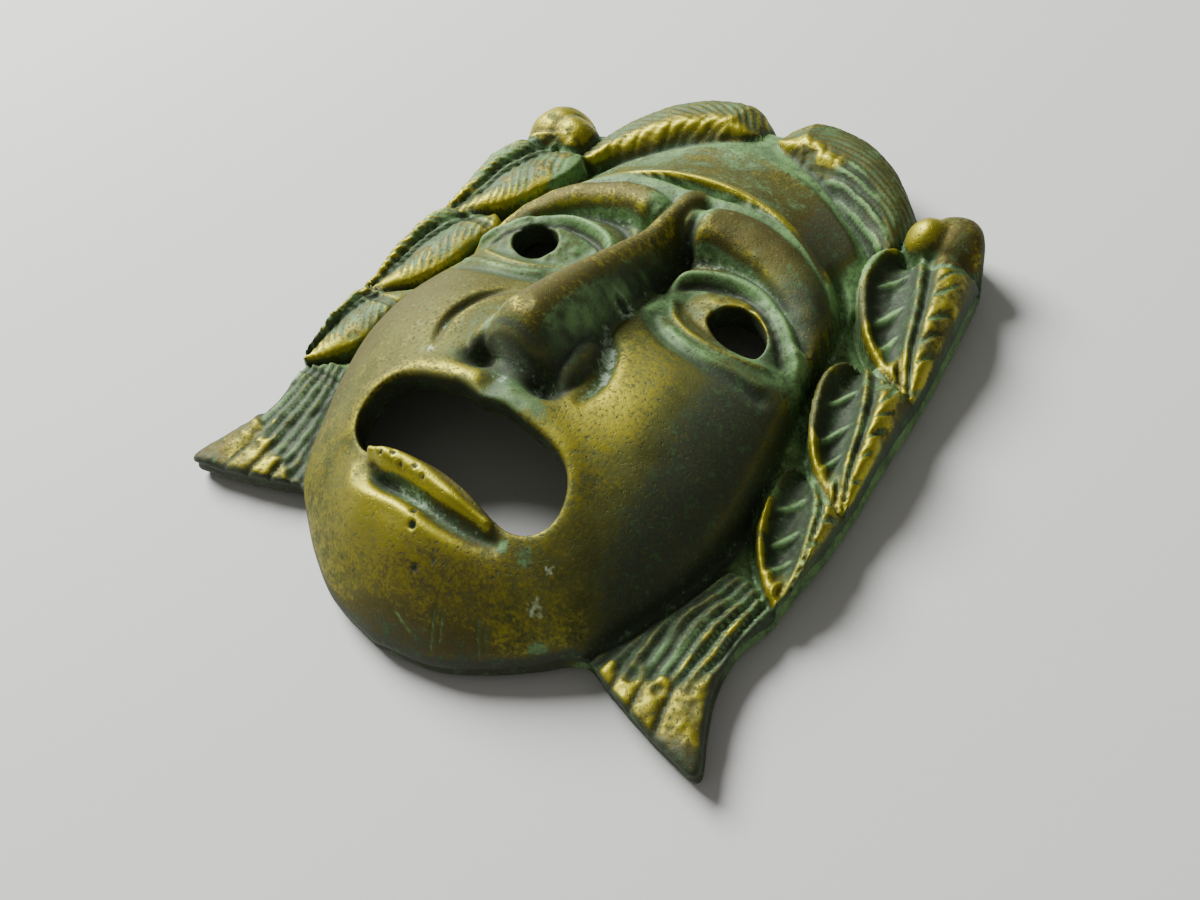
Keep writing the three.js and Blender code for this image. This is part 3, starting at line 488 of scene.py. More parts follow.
def add_berries(relief):
    right, left = relief.right, relief.left
    covered = np.zeros(relief.x.shape)
    for x, y, half_x, half_y, middle, high in (BERRY_KNOB, BERRY_BALL):
        is_ball = half_x < 4
        reach_x = relief.ax - x + LEFT_SHIFT * left * is_ball
        away = np.hypot(reach_x / half_x, (relief.y - y) / half_y)
        there = ease(1.0, 0.93, away)
        z = middle + high * np.sqrt(np.clip(1 - away ** 2, 0, 1)) - 0.5 * left * is_ball
        relief.z = np.where(away < 1, join(relief.z, z, 0.8 + 2.2 * left), relief.z)
        relief.z -= 0.4 * bell((away - 1.06) * half_x, 0.35) * (1 - covered)
        relief.cover(there, worn=0.42 - (0.0 if is_ball else 0.12) * right, brown=0.65, dark=0.15)
        ring = bell((away - 1.03) * half_x, 0.5) * (1 - covered * (0.35 + 0.6 * left))
        relief.cover(ring * 0.9, green=0.95, chalk=0.1)
        covered = np.maximum(covered, there)
    knob_side = right * covered * ease(25.2, 27, relief.x)
    relief.cover(knob_side * 0.85, brown=0.8, dark=0.4, green=0.25)
    mottle = ease(0.1, 0.6, relief.lumps(1.3, 42))
    relief.cover(covered * mottle * 0.6, green=0.7, brown=0.3)
    relief.z += 0.12 * relief.lumps(1.4, 41) * covered


# The face without its features: a long dome, steep at the cheeks and rounder at the jaw,
# full over the mouth and the chin. It stands out of the wreath with a deep channel around.
FACE_CENTRE_Y = -4.0
FACE_EDGE = [
    (0, 25.4), (6, 25.7), (11, 25.3), (15.2, 24.2), (18.6, 21.9), (20.9, 18.4), (21.7, 14), (22.5, 9),
    (23.8, 3), (25, -3), (25.3, -9), (24.2, -15), (22.4, -20), (20.8, -24), (18.6, -26.9),
    (15.9, -29.1), (12, -31.8), (6.9, -34.3), (0, -35.5),
]
FACE_PROFILE = [
    (-60, 13), (-40, 13), (-30, 14), (-26, 14.6), (-22, 14.4), (-16, 14.6), (-8, 14.4), (0, 13.6),
    (6, 12), (12, 11), (18, 10.6), (25, 10.6), (50, 10.6),
]
FACE_WALL = [(-36, 2), (-27, 2.6), (-15, 3.4), (-4, 5), (10, 5.4), (22, 6)]
SIDE_REACH = [(-30, 2.6), (-18, 2.9), (-4, 3.6)]
SIDE_BULGE = 0.66
CHANNEL_DEPTH = 1.1
FACE_BULGES = [(2, 0, 9.5, -13.2, 7), (0.8, 14, 6.5, -3, 7), (1.2, 0, 7.5, -27.5, 4.2)]


def across_middle(points):
    """Half an outline, smooth through both ends where it meets its mirror image."""
    line = smooth_line([(-points[1][0], points[1][1]), *points, (-points[-2][0], points[-2][1])])
    return line[8:-8]


face_line = across_middle(FACE_EDGE)
face_turn = np.arctan2(face_line[:, 1] - FACE_CENTRE_Y, face_line[:, 0])[::-1]
face_radius = np.hypot(face_line[:, 0], face_line[:, 1] - FACE_CENTRE_Y)[::-1]


def add_face(relief):
    x, y = relief.ax, relief.y
    radius = np.interp(np.arctan2(y - FACE_CENTRE_Y, x), face_turn, face_radius)
    away = np.hypot(x, y - FACE_CENTRE_Y)
    reach = away / radius
    top = table_of(smooth_line(FACE_PROFILE), y)
    edge = table_of(smooth_line(FACE_WALL), y)
    fall = np.clip(1 - np.clip(reach, 0, 1) ** table_of(SIDE_REACH, y), 0, 1) ** SIDE_BULGE
    dome = edge + (top - edge) * fall
    forehead = edge + (top - edge) * (1 - 0.9 * np.clip(x / 22, 0, 1) ** 2.6)
    up = ease(18, 24, y)
    z = dome * (1 - up) + forehead * up
    for height, middle_x, wide, middle_y, tall in FACE_BULGES:
        z += height * bell(x - middle_x, wide) * bell(y - middle_y, tall)
    z += 0.07 * relief.lumps(3.5, 51)
    inward = radius - away
    chin = ease(-22, -28, y)
    there = ease(-0.35, 0.7, inward) * (1 - chin) + chin
    channel = bell(inward + 0.4, 0.7) * (1 - chin) * ease(25.5, 23, y)
    relief.z = np.maximum(relief.z, z) * there + relief.z * (1 - there)
    relief.z -= CHANNEL_DEPTH * channel * ease(3.2, 4.2, relief.z)
    on_face = there * ease(0.1, -0.4, relief.z - z - 0.3)
    lumps = relief.mottle(2.2, 52)
    relief.cover(on_face, worn=0.42, brown=0.45, green=0.08)
    relief.cover(on_face * ease(17, 20, y), green=0.9, dark=0.45 * lumps)
    # The right temple: green verdigris, darkened a little with painted shade.
    relief.cover(on_face * relief.right * ease(14.5, 18, x) * ease(2, 8, y), dark=0.3, green=0.85, brown=0.3)
    # The channel round the face: pale verdigris on the right; on the left and low down it is painted dark, a
    # painted shade in the channel.
    pale = relief.right * (1 - 0.85 * ease(-2, -10, y))
    relief.cover(channel * pale, green=0.95, chalk=0.12)
    relief.cover(channel * (1 - pale) * 0.9, dark=0.8, green=0.5)
    relief.face = on_face
    relief.inward = inward


# Eye sockets, eyeballs and lids, alike on both sides: a green ridge over a dark crease above
# the eye, a thin lid, a fold and a bag below it, and a small pouch at its inner corner.
LID_RIDGE = [
    (3.6, 10.0), (4.0, 12.6), (5.5, 14.6), (8, 15.9), (12, 16.3),
    (16, 15.1), (19.2, 12.8), (21.4, 10.2), (22, 8.2),
]
LID_CREASE = [(5.0, 12.0), (6.4, 13.8), (8.8, 14.8), (12, 15.0), (15.2, 13.8), (18, 11.6), (20.2, 8.8)]
BROW_CREASE = [(3.4, 15.4), (5.2, 17.2), (8.2, 18.2), (12.4, 17.9), (16, 16.5), (18.8, 14.4), (21, 11.6)]
LOWER_LID = [(5.9, 11.3), (6.7, 9.7), (8.2, 8.2), (11, 6.9), (14.4, 6.7), (17.6, 7.4), (19.8, 8.4)]
LOWER_FOLD = [(8.0, 6.6), (10.8, 5.4), (14, 5.0), (17.5, 5.3), (20.8, 5.6)]
EYE_BAG = [(5.2, 7.6), (7.8, 5.4), (11, 4.1), (15, 3.7), (18.8, 3.9), (21.8, 4.3)]
EYE_LINES = [
    (BROW_CREASE, -0.9, 0.75, 0.9, {"green": 0.5, "dark": 0.85}),
    (LID_RIDGE, 1.0, 0.65, 0.95, {"green": 0.98, "chalk": 0.1}),
    (LID_CREASE, -0.5, 0.4, 0.95, {"dark": 0.95, "green": 0.3}),
    (EYE_BAG, -0.6, 0.8, 0.9, {"green": 0.75, "dark": 0.5}),
    (LOWER_FOLD, 0.4, 0.6, 0.9, {"green": 0.95}),
    (LOWER_LID, 0.5, 0.42, 0.5, {"green": 0.4, "worn": 0.5, "brown": 0.4}),
]
EYEBALL_X, EYEBALL_Y, EYEBALL_Z = 12.4, 11.2, 10.1
SOCKET_X, SOCKET_DEPTH, POUCH_HEIGHT = 12.5, 2.6, 0.5


def add_eyes(relief):
    x, y = relief.ax, relief.y
    right, left = relief.right, relief.left
    z = relief.z - SOCKET_DEPTH * bell(x - SOCKET_X, 8) * bell(y - 11.8, 4.4) * relief.face
    ball = EYEBALL_Z - 0.035 * (x - EYEBALL_X) ** 2 - 0.09 * (y - EYEBALL_Y) ** 2
    ball += 0.12 * relief.lumps(0.8, 61)
    z = np.where(relief.face > 0.5, join(z, ball, 0.4), z)
    socket = bell(x - SOCKET_X, 9.5) ** 2 * bell(y - 11.5, 6.6) ** 2
    lumps = relief.mottle(1.2, 63)
    relief.cover(np.clip(socket * 2.4, 0, 1) * relief.face, green=0.9 - 0.3 * lumps, dark=0.55 * lumps)
    on_ball = ease(4.6, 3.4, np.hypot((x - 12) / 1.35, y - 10.8)) * relief.face
    relief.cover(on_ball * right, worn=0.3 + 0.3 * lumps, brown=0.55, green=0.5 * (1 - lumps))
    relief.cover(on_ball * left, green=0.62, brown=0.3, chalk=0.1, dark=0.5 * lumps)

    for points, height, width, amount, skin in EYE_LINES:
        distance, place, _ = follow(points, x, y)
        mark = bell(distance, width) * (ease(0, 0.08, place) * ease(1, 0.92, place) * relief.face)
        relief.cover(np.clip(mark * 1.25, 0, 1) * amount, **skin)
        z += height * mark
    pouch = bell(np.hypot((x - 5.7) / 0.9, (y - 8.6) / 1.7), 1.15) * relief.face
    z += POUCH_HEIGHT * pouch
    relief.cover(np.clip(pouch * 1.5, 0, 1), green=1.0, chalk=0.2)
    relief.z = z


# Brows, frown and nose: heavy brows run down to the temples, a column rises from the root of
# the nose between two furrows, and the nose ends in a hooked tip over deep nostrils.
BROW = [(3.3, 20.7), (5.8, 21.3), (9, 21.2), (12.8, 20.3), (16, 18.6), (18.8, 15.9), (20.9, 12.4)]
BROW_CREST = [(0, 12.5), (0.12, 12.2), (0.27, 11.5), (0.45, 10.7), (0.63, 9.9), (0.82, 8.8), (1, 7.4)]
BROW_WIDTH = [(0, 2.7), (0.2, 3.0), (0.6, 2.8), (1, 2.1)]
NOSE_RIDGE = [
    (-40, 0), (-9.5, 13), (-8.2, 16.2), (-6.6, 19.2), (-4.4, 20.8), (-2.2, 20.7), (4.4, 18.2),
    (11.7, 14.9), (15.4, 13.2), (19, 12.7), (23, 11.9), (25.2, 10.6), (30, 9),
]
NOSE_WIDTH = [
    (-9, 4.4), (-6, 4.4), (-3, 3.9), (2, 3.5), (8, 2.9), (13, 2.5), (17, 2.2), (22, 2.3), (26, 3.6),
]
WING_X, WING_Y, WING_Z = 5.1, -4.4, 16.3
FROWN = [(3.6, 11.6), (3.5, 14.6), (3, 17.2), (2.6, 20.4), (2.4, 23.4)]
FROWN_DEPTH = [(0, 0.9), (0.2, 1), (0.55, 0.9), (0.8, 0.5), (1, 0.2)]
RIGHT_FOLD = [(4.2, 1.6), (6.2, 0), (7.5, -2), (8.4, -4.4), (8.4, -6.6), (7.6, -8.6)]
LEFT_FOLD = [(-8.4, 1.6), (-10.2, -0.8), (-11.1, -3.8), (-10.9, -6.2), (-9.7, -9.4)]
NOSTRIL_X, NOSTRIL_Y, NOSTRIL_DEPTH = 4.0, -8.0, 2.4
FOLD_DEPTH, FURROW_DEPTH, RIGHT_DEEPER = 0.8, 0.9, 1.5


def add_brows_and_nose(relief):
    x, y = relief.ax, relief.y
    right, left = relief.right, relief.left
    z = relief.z
    distance, place, side = follow(BROW, x, y)
    across = np.clip(distance / (table_of(BROW_WIDTH, place) * (1 - 0.22 * left)), 0, 3)
    crest = table_of(BROW_CREST, place)
    brow = crest - 2 * across ** 2.6 + 0.15 * bell(across - 0.7, 0.25) * ease(0.5, -0.5, side)
    brow += 0.12 * relief.lumps(1.8, 64)
    on_brow = ease(-0.25, 0.25, brow - z) * relief.face * ease(1.5, 1.1, across)
    z = np.where(relief.face > 0.5, join(z, brow, 0.4), z)
    lumps = relief.mottle(1.5, 65)
    relief.cover(on_brow, brown=0.75, worn=0.12 * lumps, green=0.3 * (1 - lumps) + 0.12, dark=0.15)
    relief.cover(on_brow * ease(0.8, 1.05, across), green=1.0, chalk=0.15)
    lower_edge = bell(across - 0.72, 0.16) * ease(0.3, -0.3, side)
    lower_edge = lower_edge * ease(0.2, 0.4, place) * ease(0.85, 0.65, place)
    relief.cover(on_brow * lower_edge * (0.25 + 0.65 * lumps) * 0.8, worn=0.8)
    relief.cover(on_brow * ease(0.4, 0.75, place) * right, dark=0.75, green=0.5, brown=0.3)

    wide = np.clip(x / table_of(smooth_line(NOSE_WIDTH), y), 0, 4)
    nose = table_of(smooth_line(NOSE_RIDGE), y) - 3.2 * wide ** 2.2
    on_nose = ease(-0.5, 0.4, nose - z) * relief.face
    z = np.where(relief.face > 0.5, join(z, nose, 0.7), z)
    wing = WING_Z - 3.6 * np.hypot((x - WING_X + 0.12 * (y - WING_Y)) / 2.5, (y - WING_Y) / 5.2) ** 2.6
    on_wing = ease(-0.4, 0.3, wing - z)
    z = join(z, wing, 0.35)
    relief.cover(np.maximum(on_nose, on_wing), brown=0.7, worn=0.08 * lumps, green=0.3, dark=0.15)
    # A small spot of bare brass at the nose tip: a painted highlight.
    relief.cover(on_nose * bell(np.hypot(relief.x + 1.6, y + 3.4), 0.4) * 0.6, worn=0.7)
    flank = on_nose * ease(0.4, 0.72, wide) * ease(19, 12, y)
    fine_lumps = relief.mottle(0.9, 68)
    relief.cover(flank * right, dark=0.25 + 0.6 * fine_lumps, green=1.0 - 0.4 * fine_lumps)
    relief.cover(flank * left * ease(13, 8, y), green=0.8, worn=0.2)
    relief.cover(on_wing * right * 0.97, brown=0.3, dark=0.8, green=0.7 * fine_lumps)
    # The underside of the nose tip is painted dark with green mottling: green patina and painted shade under
    # the tip.
    under = ease(-4.4, -6, y) * bell(x, 6.5) * bell(y + 8.4, 4)
    relief.cover(np.clip(under * 1.7, 0, 1), dark=0.8, green=0.75 * lumps)
    # The nostrils are dug in and painted black: painted shade in the holes.
    nostril = bell(np.hypot((x - NOSTRIL_X) / 1.7, (y - NOSTRIL_Y) / 1.3), 1)
    z -= NOSTRIL_DEPTH * nostril
    relief.cover(np.clip(nostril * 1.3, 0, 1), dark=1.0)

    distance, place, _ = follow(FROWN, x, y)
    furrow = bell(distance, 0.85) * table_of(FROWN_DEPTH, place) * relief.face
    z -= (FURROW_DEPTH + RIGHT_DEEPER * right) * furrow
    # The right furrow is painted black, a painted shade in its deep pit; the left one green and chalky.
    relief.cover(np.clip(furrow * 1.3, 0, 1) * right, dark=1.0, green=0.25)
    relief.cover(furrow * left, green=1.0, chalk=0.3)
    relief.cover(relief.face * bell(np.hypot(x - 2.9, y - 21.6), 1.3), green=1.0, chalk=0.1)
    relief.cover(relief.face * bell(np.hypot(relief.x - 6, (y - 16.6) * 1.6), 1.6), brown=0.8, chalk=0.5)

    distance, place, _ = follow(RIGHT_FOLD, relief.x, y)
    fold = bell(distance, 0.9) * np.sin(math.pi * np.clip(place + 0.06, 0, 1)) ** 0.7
    z -= FOLD_DEPTH * fold
    streaks = mottling(relief.x * 1.4, y, 1.0, 66)
    relief.cover(fold * 0.95, green=0.7, chalk=0.2 + 0.7 * streaks, dark=0.45 * (1 - streaks))
    distance, place, _ = follow(LEFT_FOLD, relief.x, y)
    fold = bell(distance, 0.55) * np.sin(math.pi * np.clip(place + 0.04, 0, 1)) ** 0.7
    z -= FOLD_DEPTH * fold
    relief.cover(fold * 0.95, dark=0.75 - 0.4 * place, chalk=0.7 * ease(0.5, 0.8, place) * streaks, brown=0.4)
    inner_cheek = bell(np.hypot((relief.x + 8.4) / 1.4, (y + 3.6) / 3), 1)
    relief.cover(inner_cheek * 0.8, green=0.55, brown=0.4, worn=0.3)
    relief.z = z


# The gaping mouth: a thick upper lip with a dip in its middle, a narrow rubbed roll for the
# lower lip, and a green groove under it.
UPPER_LIP = [(0, -11.2), (2.6, -10.7), (6, -11), (9.6, -12), (12.2, -14), (13.8, -17.2), (13.2, -20.4)]
LOWER_LIP = [
    (-7.3, -21.9), (-6.2, -21.7), (-4.2, -21.4), (-1.4, -21.4), (1.5, -21.7), (4.8, -22), (7.4, -22.2),
]
LIP_GROOVE = [
    (-7.6, -23.5), (-5.6, -23.6), (-2.4, -23.3), (0.2, -23.4), (3, -23.7), (6.2, -23.6), (8.7, -23.1),
]
LOWER_LIP_Z, GROOVE_DEPTH = 15.0, 1.8
LIP_PITS = [(-5.6, -21.9), (-4.4, -21.3), (-3.0, -21.9), (-1.5, -21.4), (-0.2, -21.8)]
LIP_PIT_RADIUS, LIP_PIT_DEPTH = 0.3, 0.32


def add_lips(relief):
    x, y = relief.ax, relief.y
    right, left = relief.right, relief.left
    z = relief.z
    distance, place, _ = follow(UPPER_LIP, x, y)
    z += (0.3 + 0.12 * left) * bell(distance, 1.3) * (1 - 0.5 * place)
    z -= 0.7 * bell(x, 1.3) * bell(y + 10.8, 1.8)
    lip = bell(distance, 1.2)
    relief.cover(lip * left * 0.8, worn=0.5, brown=0.55)
    lumps = relief.mottle(1.0, 67)
    chalky = bell(np.hypot((relief.x - 2.6) / 1.6, y + 9.8), 1.9)
    z += 0.3 * (lumps - 0.5) * chalky
    relief.cover(chalky * 0.9, green=0.85, chalk=0.75 * lumps, dark=0.4 * (1 - lumps))
    relief.cover(bell(distance, 0.9) * right * ease(0.5, 0.25, place), green=0.75, dark=0.5, chalk=0.2)
    distance, place, _ = follow(LOWER_LIP, relief.x, y)
    thick = (0.45 + 0.75 * ease(0, 0.28, place)) * (1 - 0.45 * ease(0.4, 0.9, place))
    roll = LOWER_LIP_Z - 1.2 * place - 0.6 * ease(0.12, 0, place) - 0.9 * ease(0.7, 1, place)
    roll -= 0.55 * (distance / thick) ** 2
    on_roll = ease(-0.3, 0.2, roll - z) * ease(2.2 * thick, 1.3 * thick, distance)
    z = np.where(distance < 2.6, join(z, roll, 0.3), z)
    relief.cover(on_roll * ease(1, 0.86, place), worn=0.5 + 0.2 * lumps, brown=0.6, dark=0.3 * (1 - lumps))
    distance, place, _ = follow(LIP_GROOVE, relief.x, y)
    groove = bell(distance, 0.5 + 0.45 * ease(0, 0.3, place))
    groove = groove * ease(-0.02, 0.2, place) * (1 - 0.6 * place ** 2)
    z -= GROOVE_DEPTH * groove
    # The groove is painted dark towards its ends as painted shade, and pale chalk in its lit middle as a
    # painted highlight.
    lit = bell(place - 0.45, 0.2)
    relief.cover(np.clip(groove * 1.25, 0, 1), green=0.95, dark=0.85 - 0.75 * lit, chalk=0.4 * lit)
    ledge = bell(distance - 1.9, 0.7) * ease(-22.5, -24, y) * ease(1, 0.5, place)
    z += 0.25 * ledge
    relief.z = z
    for pit_x, pit_y in LIP_PITS:
        relief.pit(pit_x, pit_y, LIP_PIT_RADIUS, LIP_PIT_DEPTH, 1.0)


# What age left on the face: casting pits and scratches, bare brass where hands rub it, a
# right cheek painted black as dark patina and painted shade, and green and chalky patches.
PITS = [(1.4, -25.9, 0.42, 0.5), (3.3, -28.8, 0.34, 0.3), (4.8, -27.4, 0.26, 0.25), (0.6, -24.8, 0.3, 0.3)]
SCRATCHES = [
    [(6.4, -30.4), (7.0, -33.6)], [(7.2, -30.2), (7.7, -32.4)], [(10.6, -28.9), (11.5, -31.6)],
    [(11.4, -29.2), (11.9, -30.8)], [(2.2, -32.4), (4.6, -33.2)],
]
SCRATCH_WIDTH, SCRATCH_DEPTH = 0.16, 0.1
PATCHES = [
    ("green", 16.6, -28.2, 1.2, 0.95), ("chalk", 15.0, -25.4, 0.9, 0.45), ("green", 12.2, -22.6, 1.0, 0.6),
    ("chalk", 14.6, -22.2, 0.6, 0.45), ("chalk", -9.6, -9.6, 0.6, 0.5), ("green", 9.8, -22.9, 0.8, 0.9),
]
RING_X, RING_Y = 3.7, 5.4
OVAL_X, OVAL_Y = 3.5, 0.2


def add_age(relief):
    x, y = relief.x, relief.y
    face = relief.face
    under_chin = y - 0.22 * (x - 2)
    chin = bell(np.hypot(x + 3, (y + 26) * 1.1), 12) * ease(-34.4, -32.4, under_chin)
    cheek_right = bell(np.hypot(x - 11, (y + 7) * 0.8), 9) * ease(19, 13.5, x - 0.25 * (y + 8))
    cheek_left = bell(np.hypot(x + 15, (y + 7) * 0.6), 9)
    lumps = relief.mottle(4.5, 71)
    flecks = relief.mottle(1.4, 72)
    plain = ease(5, 2.5, y) * ease(0.25, 0.75, np.hypot(x / 9.5, (y + 5) / 8))
    relief.paint("worn", face * plain * (0.68 * chin + 0.66 * cheek_right + 0.3 * cheek_left))
    middle_chin = bell(np.hypot(x - 5, (y + 28.5) * 1.1), 8.5)
    relief.cover(face * middle_chin * (0.5 + 0.5 * flecks), brown=0.9, worn=0.4, dark=0.44 * flecks)
    # The right cheek painted black and green: dark patina, and painted shade on the side turned away from the
    # lamp.
    shadow_side = ease(13, 20.5, x + 0.12 * (y + 10) + 2.4 * (lumps - 0.5)) * ease(9, 4, y)
    relief.cover(face * shadow_side * 0.92, dark=0.85, green=0.3 + 0.35 * flecks * lumps, brown=0.3)
    low_chin = ease(-31.2, -33.9, under_chin + 1.4 * (lumps - 0.5) + 1.2 * (flecks - 0.5))
    relief.cover(face * low_chin * 0.9, brown=0.85, dark=0.55 + 0.15 * flecks, green=0.1)
    # The left cheek painted duller and darker in tarnish colours: a painted shade that holds down the lamp's
    # sheen there.
    left_cheek_dimmed = face * bell(np.hypot((x + 15) / 8, (y + 3) / 12), 1)
    relief.cover(left_cheek_dimmed * 0.9, worn=0.18, brown=0.65, green=0.38, dark=0.4)
    relief.cover(face * ease(-17, -22, x) * 0.6 * ease(5, 0, y), brown=0.75, green=0.25)
    relief.z += 0.5 * bell(np.hypot((x + 6.4) / 3.4, (y + 26.4) / 2.4), 1) * face
    for name, patch_x, patch_y, radius, amount in PATCHES:
        relief.patch(name, patch_x, patch_y, radius, amount)
    oval = ease(1.3, 0.6, np.hypot((x - OVAL_X) / 0.55, (y - OVAL_Y) / 2.3))
    relief.cover(oval * 0.8, green=0.95, dark=0.5 * flecks)

    # The small ringed pit on the side of the nose
    away = np.hypot(x - RING_X, y - RING_Y)
    relief.z += 0.2 * bell(away - 0.8, 0.25)
    relief.dent(RING_X, RING_Y, 0.5, 0.7)
    relief.cover(ease(1.5, 1.0, away), green=0.7, dark=0.4)
    relief.cover(bell(away - 0.85, 0.32), green=1.0, chalk=0.5)
    relief.patch("dark", RING_X, RING_Y, 0.4, 1.0)
    for pit_x, pit_y, radius, depth in PITS:
        relief.pit(pit_x, pit_y, radius, depth, 0.9)
    for scratch in SCRATCHES:
        distance, _, _ = follow(scratch, x, y, reach=1)
        mark = bell(distance, SCRATCH_WIDTH) * face
        relief.z -= SCRATCH_DEPTH * mark
        relief.cover(mark * 0.8, green=1.0, chalk=0.2)


def front(x, y):
    """The whole front of the casting, in the order in which its parts lie over each other."""
    relief = Relief(x, y)
    add_ribbons(relief)
    for leaf in reversed(SIDE_LEAVES):
        add_side_leaf(relief, leaf)
    for add_next in (add_crown, add_berries, add_face, add_band, add_top_leaf, add_eyes,
                     add_brows_and_nose, add_lips, add_age):
        add_next(relief)
    return relief


# The casting as a closed shell: the front on a fine net of points, sides down to the flat
# back rim, walls through the mouth and eyes, and a hollow that follows the front.
OUTLINE = [
    (0, 41.2), (1.4, 42.6), (5.4, 44), (10.4, 43.2), (15, 41), (18.6, 37.8), (20.6, 36.2),
    (22.6, 36.4), (25, 36.6), (27.8, 35.4), (29.6, 33), (30.8, 29.6), (31.7, 25), (32.4, 18.7),
    (32.8, 12), (33.1, 4), (33.3, -3), (33, -9), (32.4, -13.6), (31.4, -17.6), (31.8, -21.8),
    (33.3, -25.6), (35, -29.5), (31.6, -29.3), (27, -28.2), (23, -27), (19.6, -26), (15.7, -28.9),
    (11.8, -31.6), (6.8, -34.1), (0, -35.3),
]
HOLLOW_EDGE = [
    (0, 37.6), (5, 40.4), (10, 39.8), (14.4, 37.4), (18, 33.8), (22.6, 32.6), (26.4, 31.4),
    (28, 27.6), (29, 20), (29.8, 10), (30.2, 0), (29.8, -8), (28.6, -14), (26, -18.4),
    (21.6, -21.8), (17.6, -24.6), (12.6, -28.2), (6.6, -31.2), (0, -32.2),
]
MOUTH = [
    (0, -12.4), (2.8, -12), (5.4, -12.3), (8.2, -12.7), (10.8, -13.6), (12.5, -15.6), (13, -18.2),
    (12.1, -20.3), (10, -21.5), (7.5, -21.4), (4.6, -20.7), (1.6, -20.3), (0, -20.2),
]
EYE_HOLES = [
    [(10.5, 9.9), (10.9, 12), (13.2, 13.3), (16.2, 12.3), (17.8, 10.1), (16.9, 8.3), (13.6, 8.2)],
    [(-16.5, 9.7), (-17.1, 12.4), (-15.1, 14.2), (-12.4, 13.5), (-10.7, 11.7), (-11, 9.8), (-13.5, 8.6)],
]
CHIN_Y = OUTLINE[-1][1]
SKEW, SKEW_FROM, SKEW_TO = 0.055, 14, 30
WALL = 2.6
NET = 0.285
BACK_NET = 0.8
EDGE_STEP = 0.26
OUTER_RINGS, HOLE_RINGS = (0.07, 0.18, 0.36, 0.58), (0.06, 0.16, 0.32)
OUTER_CLEAR, HOLE_CLEAR, BACK_OUTER_CLEAR, BACK_HOLE_CLEAR = 0.72, 0.46, 0.4, 0.3
OUTER_ROUND, MOUTH_ROUND, EYE_ROUND = 0.8, 0.55, 0.4
SIDE_ROWS, HOLE_ROWS = 9, 8
SIDE_BOW, FOOT_INSET = 0.3, 0.9
GRID_STEP = 0.25
CEILING_LOWEST, CEILING_BLUR, CEILING_DROP = 1.0, 0.7, 0.2
FINE_BLUR, FINE_SPAN, BROAD_BLUR, BROAD_SPAN = 0.45, 0.25, 1.6, 0.9


def even_loop(points, step, softening=2):
    """A closed line, counter-clockwise, with points an even step apart and its sharp turns eased."""
    points = np.vstack([points, points[:1]])
    lengths = np.concatenate([[0], np.cumsum(np.hypot(*np.diff(points, axis=0).T))])
    count = int(round(lengths[-1] / step))
    at = np.arange(count) / count * lengths[-1]
    loop = np.column_stack([np.interp(at, lengths, points[:, k]) for k in (0, 1)])
    for _ in range(softening):
        loop = (np.roll(loop, 1, axis=0) + 2 * loop + np.roll(loop, -1, axis=0)) / 4
    area = np.sum(loop[:, 0] * np.roll(loop[:, 1], -1) - loop[:, 1] * np.roll(loop[:, 0], -1))
    return loop if area > 0 else loop[::-1]


def both_sides(half):
    right = smooth_line(half)
    return np.vstack([right, (right[1:-1] * [-1, 1])[::-1]])


def inward_of(loop, softening=0):
    """Directions into a closed line's inside; softened ones are short where the line turns sharply."""
    along = np.roll(loop, -1, axis=0) - np.roll(loop, 1, axis=0)
    along /= np.maximum(np.hypot(*along.T), 1e-6)[:, None]
    for _ in range(softening):
        along = (np.roll(along, 1, axis=0) + 2 * along + np.roll(along, -1, axis=0)) / 4
    return np.column_stack([-along[:, 1], along[:, 0]])


def inside(loop, x, y):
    within = np.zeros(x.shape, bool)
    for (ax, ay), (bx, by) in zip(loop, np.roll(loop, -1, axis=0)):
        if ay != by:
            within ^= ((ay > y) != (by > y)) & (x < (bx - ax) * (y - ay) / (by - ay) + ax)
    return within


def distance_to(loop, points):
    tree = kdtree.KDTree(len(loop))
    for i, (x, y) in enumerate(loop):
        tree.insert((x, y, 0), i)
    tree.balance()
    return np.array([tree.find((x, y, 0))[2] for x, y in points])


def net_points(spacing):
    """A net of points in offset rows, which makes nearly even triangles."""
    rows = np.arange(-37, 46, spacing * math.sqrt(3) / 2)
    columns = np.arange(-37, 37, spacing)
    x, y = np.meshgrid(columns, rows)
    x += np.where(np.arange(len(rows)) % 2, spacing / 2, 0)[:, None]
    return np.column_stack([x.ravel(), y.ravel()])


def net_within(net, outer, outer_clear, hole_clear):
    """The net's points inside a closed line and outside the holes, clear of both."""
    net = net[inside(outer, net[:, 0], net[:, 1])]
    net = net[distance_to(outer, net) > outer_clear]
    for loop in holes:
        net = net[~inside(loop, net[:, 0], net[:, 1])]
        net = net[distance_to(loop, net) > hole_clear]
    return net


def triangulate(points, loops):
    """Triangles over the points, inside the first loop and outside the others."""
    edges = []
    start = 0
    for loop in loops:
        count = len(loop)
        edges += [(start + i, start + (i + 1) % count) for i in range(count)]
        start += count
    corners = [Vector(p) for p in np.vstack([*loops, points]).tolist()]
    places, _, faces, origin, _, _ = delaunay_2d_cdt(corners, edges, [], 1, 1e-6, True)
    places = np.array([tuple(p) for p in places])
    faces = np.array(faces)
    middle = places[faces].mean(axis=1)
    keep = inside(loops[0], middle[:, 0], middle[:, 1])
    for hole in loops[1:]:
        keep &= ~inside(hole, middle[:, 0], middle[:, 1])
    number = np.array([ids[0] for ids in origin])
    return number[faces[keep]]


outline = even_loop(both_sides(OUTLINE), EDGE_STEP, softening=4)
mouth = even_loop(both_sides(MOUTH), EDGE_STEP, softening=3)
eyes = [even_loop(smooth_line(hole + hole[:1])[:-1], EDGE_STEP, softening=14) for hole in EYE_HOLES]
holes = [mouth, *eyes]
hole_rounds = [MOUTH_ROUND, EYE_ROUND, EYE_ROUND]

